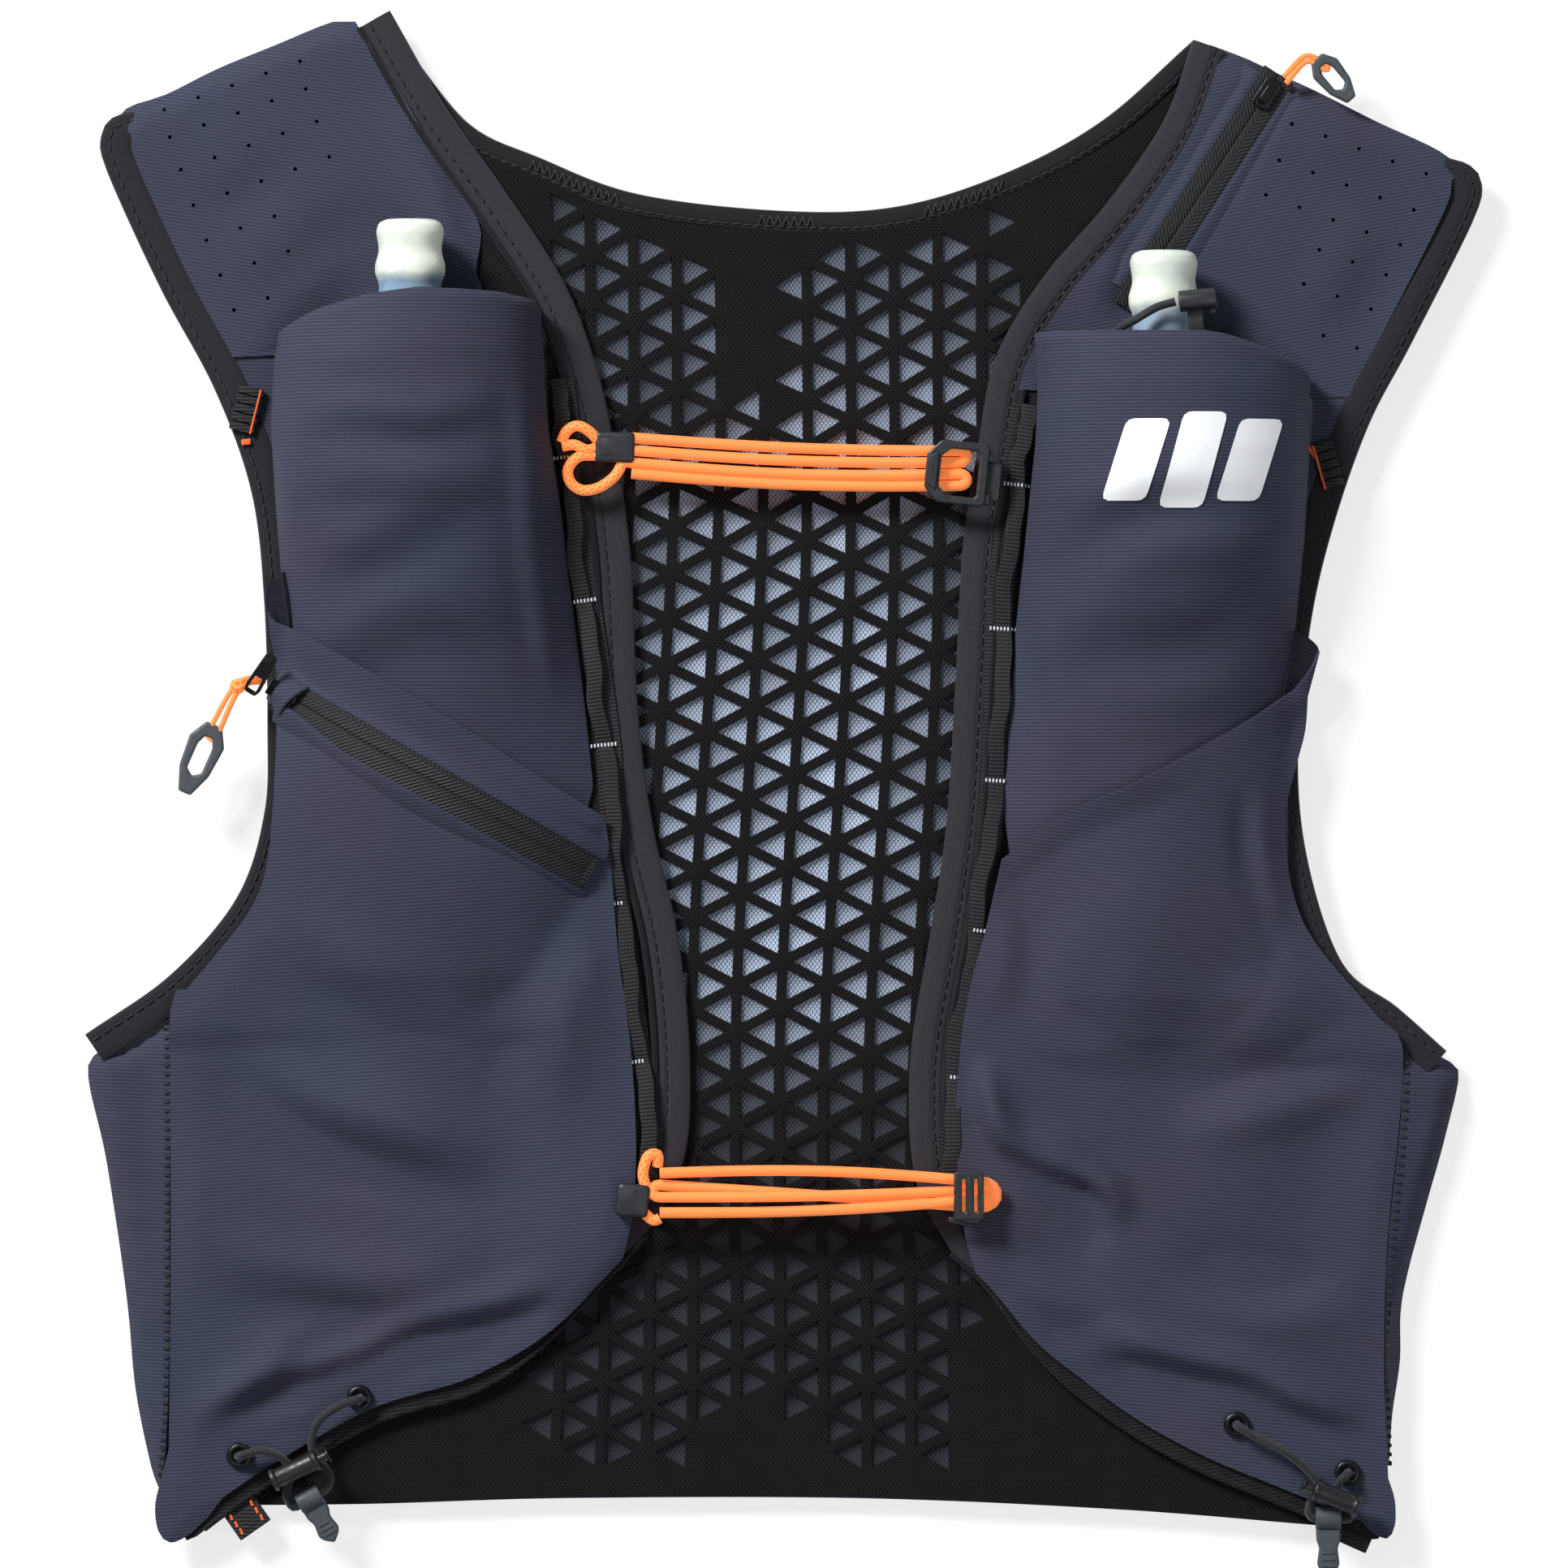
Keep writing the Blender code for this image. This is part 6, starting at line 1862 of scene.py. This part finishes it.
def make_chest_zip():
    """The zip across the left chest: its tape, the lips over it, its garage, slider and lever."""
    builder = Builder()
    centre_line = [zip_place(1 + (ZIP_LENGTH - 2) * i / 70) for i in range(71)]
    centre = zip_centre()

    def up(index):
        radial = centre_line[index] - centre
        across = Vector((-ZIP_ALONG.y, ZIP_ALONG.x, 0))
        return (radial - across * radial.dot(across)).normalized()
    add_sweep(builder, centre_line, zip_section(CHEST_TAPE), 0, up=up)
    builder.object("chest_zip_tape_visual", [ZIP_TAPE], "vest", ["chest_zip_tape"])
    lips = Builder()
    upper = ((-1.2, 0.9), (-0.9, 1.45), (-0.2, 1.7), (0.8, 1.4), (3.0, 0.1), (4.4, -1.6), (4.2, -2.2),
             (2.6, -0.9), (0.2, 0.2), (-1.0, 0.5))
    lower = ((-0.7, 0.6), (-0.4, 0.95), (0.3, 0.9), (1.6, 0.2), (3.4, -1.0), (5.0, -2.4), (4.6, -3.0),
             (2.6, -1.6), (0.2, 0.0), (-0.5, 0.3))
    for sign, profile, first in ((-1, lower, 3.0), (1, upper, 1.0)):
        line = []
        for i in range(61):
            along = first + (ZIP_LENGTH + 0.6 - first) * i / 60
            ease = min(1.0, (along - first) / 24) if sign < 0 else 1.0
            ease = ease * ease * (3 - 2 * ease)
            line.append(zip_place(along, -0.35 + 1.5 * (1 - ease),
                                  sign * (3.0 + (CHEST_TAPE / 2 - 2.8) * ease)))
        shape = [(sign * s, h) for s, h in profile]
        add_sweep(lips, line, shape if sign < 0 else shape[::-1], 0, up=lambda i: up(min(i, 70)))
    end = zip_place(ZIP_LENGTH - 1.5, 1.3, 0)
    for step in range(-3, 4):
        add_block(lips, end + Vector((-ZIP_ALONG.y, ZIP_ALONG.x, 0)) * step * 1.1, (*ZIP_ALONG, -0.3),
                  (1.6, 0.6, 0.4), 1)
    lips.object("chest_zip_lips", [FABRIC_LOWER_LEFT, STITCH_BLACK], "vest")
    make_zip_garage()
    angle = math.asin((ZIP_REST - ZIP_LENGTH / 2) / ZIP_RADIUS)
    along = Vector((*(ZIP_ALONG * math.cos(angle)), -math.sin(angle)))
    rise = Vector((*(ZIP_ALONG * math.sin(angle)), math.cos(angle)))
    make_slider("chest_zip_slider", zip_place(ZIP_REST - 3.2, 1.2), along, rise, "chest_slider")
    make_tab("chest_zip_tab", (-159.8, 7.0, 15.5), 246, 20.4, 10.2, "chest_pull")
    lever = Builder()
    loop = rounded([(-6, -1.7), (4.6, -2.3), (6.4, -1.6), (6.4, 1.6), (4.6, 2.3), (-6, 1.7)], 0.6, 3)
    eye = rounded([(1.2, -1.1), (1.2, 1.1), (5.2, 1.3), (5.2, -1.3)], 0.4, 3)
    tilt = Matrix.Rotation(math.radians(12), 4, "Y")
    lever.add(*outline_plate([loop, eye], 1.3, 0.3, placed((-142.6, 30.2, 21.0), 238, tilt)))
    lever.object("chest_zip_lever", [PAINTED_METAL], "chest_slider")


def make_zip_garage():
    """The folded end of the pocket's fabric, which covers the slider where it rests."""
    rows, columns, half = 12, 16, 6.8
    builder = Builder()
    points = []
    for row in range(rows + 1):
        t = row / rows
        for column in range(columns + 1):
            side = 2 * column / columns - 1
            along = -1.6 + t * (8.4 + 2.2 * side)
            dome = (1 - side ** 2) ** 0.8 * min(1.0, 2.4 * t) ** 0.6
            across = side * half * (1 if side > 0 else 0.5 + 0.5 * t)
            points.append(zip_place(along, -0.9 + 4.7 * dome, across))
    wide = columns + 1
    faces = [(r * wide + c, r * wide + c + 1, (r + 1) * wide + c + 1, (r + 1) * wide + c)
             for r in range(rows) for c in range(columns)]
    builder.add(points, faces)
    cover = builder.object("chest_zip_garage", [FABRIC_LOWER_LEFT], "vest", (), 180)
    bake(thicken(cover, 0.8))
    shade(cover.data, 180)


def make_slider(name, place, along, rise, body):
    """A zip slider at a place, which points along the zip and rises from it."""
    body_loop = [(-5, 0), (5, 0), (5.4, 0.9), (4.6, 1.8), (3.6, 1.9)]
    bridge = [(3.2, 3.4), (2.2, 4.1), (-2.2, 4.1), (-3.2, 3.4), (-3.6, 1.9), (-4.6, 1.8), (-5.4, 0.9)]
    slot = [(-2.4, 2.0), (-2.0, 3.1), (2.0, 3.1), (2.4, 2.0)]
    across = rise.cross(along)
    turn = Matrix.Translation(place) @ Matrix((along, rise, -across)).transposed().to_4x4()
    builder = Builder()
    turn = turn @ Matrix.Diagonal((0.9, 0.52, 0.9, 1))
    builder.add(*outline_plate([rounded(body_loop + bridge, 0.4, 3), rounded(slot, 0.2, 2)], 2.2, 0.25, turn))
    for shift in (-2.0, 2.0):
        wing = rounded([(-4.4, 0.1), (3.6, 0.1), (4.8, 0.5), (4.4, 1.7), (-4.2, 1.7)], 0.4, 3)
        builder.add(*outline_plate([wing], 1.6, 0.25, turn @ Matrix.Translation((0, 0, shift * 0.92))))
    add_box(builder, turn @ Vector((-0.4, 1.2, 0)), (7.4, 4.6, 1.0),
            math.degrees(math.atan2(along.y, along.x)), 0, 0.3, 2)
    builder.object(name + "_visual", [PAINTED_METAL], body, [name], 30)


def make_tab(name, place, angle, length, width, body):
    x, y = length / 2, width / 2
    outer = [(-x, -y * 0.45), (-x, y * 0.45), (-x * 0.5, y), (x * 0.35, y * 0.85), (x, y * 0.35),
             (x, -y * 0.35),
             (x * 0.35, -y * 0.85), (-x * 0.5, -y)]
    a, b = x * 0.62, y * 0.42
    slot = [(-a, -b * 0.5), (-a * 0.6, -b), (a * 0.55, -b), (a * 0.8, 0), (a * 0.55, b), (-a * 0.6, b),
            (-a, b * 0.5)]
    turn = placed(place, angle)
    builder = Builder()
    builder.add(*outline_plate([rounded(outer, 0.5, 2), rounded(slot[::-1], 0.5, 2)], 2.6, 0.7, turn, 1))
    builder.object(name + "_visual", [RUBBER], body, [name], 25)


def make_shoulder_zip():
    """The short zip on the right shoulder strap: its tape, lips, slider and tab."""
    along = SHOULDER_ZIP_ALONG
    left = Vector((-along.y, along.x))
    surface = strap_height("right")

    def place_at(distance, lift, across):
        plan = SHOULDER_ZIP_TOP + along * (distance - 1.0) + left * across
        return Vector((plan.x, plan.y, TRIM_LOW + lift))
    builder = Builder()
    line = [place_at(d, 0, 0) for d in np.arange(0, SHOULDER_ZIP_LENGTH + 23, 1.5)]
    add_sweep(builder, line, zip_section(SHOULDER_TAPE))
    builder.object("shoulder_zip_tape_visual", [ZIP_TAPE], "vest", ["shoulder_zip_tape"])
    lips = Builder()
    for sign in (-1, 1):
        line = [place_at(d, 0.0, sign * (SHOULDER_TAPE / 2 + 0.5))
                for d in np.arange(2.5, SHOULDER_ZIP_LENGTH + 19, 2.0)]
        for point in line:
            point.z = max(TRIM_LOW, float(surface(np.array([point.x]), np.array([point.y]))[0])) - 0.4
        shape = [(sign * s, h) for s, h in ((-1.2, 0.1), (-1.1, 0.9), (-0.3, 1.25), (0.9, 1.1), (3.0, 0.4),
                                            (4.6, -0.2), (4.4, -0.7), (0, -0.5))]
        add_sweep(lips, line, shape if sign < 0 else shape[::-1], 0)
    lips.object("shoulder_zip_lips", [FABRIC_UPPER_RIGHT], "vest")
    place = SHOULDER_ZIP_TOP + along * 5.2
    make_slider("shoulder_zip_slider", Vector((*place, TRIM_LOW + 1.2)), Vector((*along, 0)),
                Vector((0, 0, 1)),
                "shoulder_slider")
    make_tab("shoulder_zip_tab", (150.4, 193.0, TRIM_LOW + 3.6), -50, 15, 8.5, "shoulder_pull")


# Flasks.

FLASK_AXIS_X = {"left": -102.0, "right": 103.5}
FLASK_SHIFT_Y = {"left": 0.0, "right": -8.5}
FLASK_FLOOR = 10.5
FLASK_BODY = ((117.5, 9, 18), (110, 19, 22), (99, 27, 24), (80, 28.5, 23), (58, 26, 16), (36, 23.5, 10),
              (12, 21, 6), (-20, 19, 3.6), (-44, 15, 2), (-54, 10, 1))
NECK_HEIGHT = FLASK_FLOOR + 11.5


def make_flask(side):
    """The soft flask of one side: its film body in the pocket, its cap and its bite valve."""
    axis_x, shift = FLASK_AXIS_X[side], FLASK_SHIFT_Y[side]
    body = f"flask_{side}"
    builder = Builder()
    table = np.array(FLASK_BODY[::-1], float)
    rows = np.concatenate([np.linspace(117.4, 110, 6), np.linspace(108, -44, 50), np.linspace(-46, -54, 5)])
    points, places = [], []
    steps = 32
    for y in rows:
        half, thickness = np.interp(y, table[:, 0], table[:, 1]), np.interp(y, table[:, 0], table[:, 2])
        neck = min(max((y - 110) / 7.5, 0), 1)
        dent = 0.3 * math.sin(y / 9.0) * (1 - neck)
        for index in range(steps):
            angle = 2 * math.pi * index / steps
            z = (FLASK_FLOOR + 0.2 + (thickness - 0.4) / 2 * (1 + math.sin(angle))
                 + dent * max(0, math.sin(angle)) * 0.4)
            z += neck * (NECK_HEIGHT - FLASK_FLOOR - thickness / 2)
            points.append((axis_x + (half - 0.3) * math.cos(angle), y + shift, z))
            places.append((angle * half, y))
    faces = [(r * steps + i, r * steps + (i + 1) % steps, (r + 1) * steps + (i + 1) % steps,
              (r + 1) * steps + i)
             for r in range(len(rows) - 1) for i in range(steps)]
    faces += [tuple(range(steps))[::-1], tuple(range((len(rows) - 1) * steps, len(rows) * steps))]
    builder.add(points, faces, 0, places)
    builder.object(f"flask_body_{side}_visual", [FILM], body, [f"flask_body_{side}"], 60)
    base = Vector((axis_x, 117.8 + shift, NECK_HEIGHT))
    cap = Builder()
    profile = softened([(0.01, 7), (7.5, 7), (9, 6), (11.1, 5), (11.1, 0.5), (10.7, 0), (0.01, 0)], 0.5)
    add_turned(cap, profile, base, (0, 1, 0), 0, 96,
               lambda angle, h: 1 - (0.018 if 0.8 < h < 4.9 else 0.0) * (0.5 + 0.5 * math.cos(angle * 32)))
    cap.object(f"flask_cap_{side}_visual", [CAP], body, [f"flask_cap_{side}"], 50)
    valve = Builder()
    profile = softened([(0.01, 28.2), (2.2, 28.9), (6.5, 29), (8.7, 27.9), (9.3, 25.5), (8.6, 21.4),
                        (8.7, 19.6), (9.6, 16.6), (9.6, 14.2), (8.5, 11.4), (8.6, 8), (7.6, 0),
                        (0.01, 0)], 0.9)
    add_turned(valve, profile, base + Vector((0, 7.3, 0)), (0, 1, 0), 0, 48)
    for turn in (0, 90):
        way = Matrix.Rotation(math.radians(turn + 45), 3, "Y") @ Vector((1, 0, 0))
        add_block(valve, base + Vector((0, 7.3 + 28.65, 0)), way, (7, 0.5, 0.3), 0, Vector((0, 1, 0)))
    valve.object(f"bite_valve_{side}_visual", [VALVES[side]], body, [f"bite_valve_{side}"],
                 50)


def make_retention_hook():
    height = NECK_HEIGHT + 12.6
    builder = Builder()
    sleeve = softened([(1.3, 5), (2.9, 5), (2.9, -5), (1.3, -5), (1.3, 5)], 0.4)
    add_turned(builder, sleeve, (112.2, 131.6, height), (1, 0.1, 0), 0, 32)
    add_box(builder, (111.8, 126.4, height - 1.2), (4.2, 7.6, 1.6), 4, 0, 0.6, 3)
    add_box(builder, (116.4, 129.6, height - 0.6), (2.0, 3.6, 1.8), -20, 0, 0.6, 3)
    builder.object("retention_hook_visual", [PLASTIC], "flask_right", ["retention_hook"],
                   40)


# Hem locks.


def make_hem_lock(side):
    """The cord lock on one side's hem cord, with the cord's two eyelets."""
    for index, (x, y) in enumerate(EYELETS[side]):
        profile = softened([(1.95, 1.15), (2.5, 1.5), (3.3, 1.2), (3.6, 0.5), (3.3, 0.0), (2.0, 0.0),
                            (1.95, 1.15)], 0.3)
        eye = Builder()
        add_turned(eye, profile, (x, y, POCKET_BASE + 1.55), (0, 0, 1), 0, 36)
        name = f"eyelet_{side}_{('outer', 'inner')[index]}"
        eye.object(name + "_visual", [PAINTED_METAL], "vest", [name], 50)
    lock_end, button_end = (Vector(p) for p in LOCKS[side])
    along = (button_end - lock_end).normalized()
    length = (button_end - lock_end).length
    barrel = softened([(0.01, 1.2), (1.6, 1.2), (1.6, length - 3.6), (2.9, length - 3.6),
                       (3.15, length - 4.2),
                       (2.9, length - 5), (2.65, length - 5.4), (2.65, 1.6), (3.15, 1.2), (3.15, 0.2),
                       (2.9, 0), (0.01, 0)], 0.25)
    builder = Builder()
    add_turned(builder, barrel, lock_end, along, 0, 40,
               lambda angle, h: 1 + (0.05 * math.cos(angle * 6) if 2.0 < h < length - 6 else 0))
    builder.object(f"cord_lock_barrel_{side}_visual", [LOCK_BLACK], "vest",
                   [f"cord_lock_barrel_{side}"], 35)
    button = softened([(0.01, length), (1.5, length), (2.25, length - 0.35), (2.25, length - 0.75),
                       (1.3, length - 0.9),
                       (1.3, length - 8.6), (0.01, length - 8.6)], 0.2)
    knob = Builder()
    add_turned(knob, button, lock_end, along, 0, 40,
               lambda angle, h: 1 + (0.03 * math.cos(angle * 14) if h > length - 0.8 else 0))
    knob.object(f"cord_lock_button_{side}_visual", [LOCK_BLACK], f"lock_button_{side}",
                [f"cord_lock_button_{side}"], 35)
    spring = Builder()
    turn = along.to_track_quat("Z", "Y").to_matrix()
    start, end = 1.5, length - 11.6
    route = [lock_end + turn @ Vector((0.95 * math.cos(i * math.pi / 12), 0.95 * math.sin(i * math.pi / 12),
                                       start + 0.3 + (end - start - 0.6) * i / 48)) for i in range(49)]
    add_sweep(spring, route, round_section(0.45, 8), 0, up=along)
    spring.object(f"cord_lock_spring_{side}_visual", [STEEL], "vest",
                  [f"cord_lock_spring_{side}"])
    make_pull_tab(side)


def make_pull_tab(side):
    """A rubber tab moulded round an eye, with a waist, a flat paddle and a raised rib."""
    eye, angle = TABS[side]
    turn = placed(eye, angle)
    upright = turn @ Matrix.Rotation(math.radians(90), 4, "X")
    builder = Builder()
    ring_loop = [(3.2 * math.cos(t), 3.2 * math.sin(t)) for t in np.linspace(0, 2 * math.pi, 33)[:-1]]
    bore = [(1.9 * math.cos(t), 1.9 * math.sin(t)) for t in np.linspace(0, -2 * math.pi, 25)[:-1]]
    builder.add(*outline_plate([ring_loop, bore], 7.0, 0.5, upright))
    reach = 0.84 if side == "left" else 1.0
    paddle = [(2.8, -3.4), (6.0, -3.3), (8.2, -2.5), (12.6, -3.1), (14.2, -2.4), (16.6, 0), (14.2, 2.4),
              (12.6, 3.1), (8.2, 2.5), (6.0, 3.3), (2.8, 3.4)]
    paddle = rounded([(x * reach, y) for x, y in paddle], 0.7, 3)
    builder.add(*outline_plate([paddle], 2.6, 0.7, turn))
    for x, width in ((9.4, 3.4), (11.2, 3.8), (13.0, 3.4)):
        add_box(builder, turn @ Vector((x * reach, 0, 1.35)), (0.8, width, 0.6), angle, 0, 0.25, 2)
    builder.object(f"hem_pull_tab_{side}_visual", [RUBBER], f"hem_tab_{side}",
                   [f"hem_pull_tab_{side}"], 35)


def make_mark():
    """A plain reflective mark of three slanted bars, printed on the right flask pocket."""
    def height(x, y):
        inside = np.sqrt(np.clip(1 - ((2 * x - sum_edges(y)) / span(y)) ** 2, 0, 1)) ** 0.5
        return POCKET_BASE + 1.0 + pocket_rise("right", x, y) + flask_folds("right", x, y) * inside + 0.28

    def sum_edges(y):
        left, right, _ = pocket_stations("right", y)
        return left + right

    def span(y):
        left, right, _ = pocket_stations("right", y)
        return right - left
    for index, shift in enumerate((-15.5, 0.0, 15.5)):
        bar = [(-9.5, -13 + abs(shift) * 0.12), (2.5, -13 + abs(shift) * 0.12), (9.5, 13 - abs(shift) * 0.12),
               (-2.5, 13 - abs(shift) * 0.12)]
        outline = [Vector((110.9 + shift + p.x, 88.1 + p.y)) for p in rounded(bar, 2.2, 5)]
        outline = resampled(outline + [outline[0]], 1.5)[:-1]
        sheet_object(f"reflective_bar_{index + 1}", outline, height, 2.0, [PRINT], "vest",
                     (), 0.12)


for side_name in ("left", "right"):
    make_hem_cord(side_name)
make_retention_cord()
make_pull_cords()
make_bungees()
make_strap_hardware()
for side_name in ("left", "right"):
    make_rail(side_name)
    make_flask(side_name)
    make_hem_lock(side_name)
make_adjusters()
make_chest_zip()
make_shoulder_zip()
make_retention_hook()
make_mark()
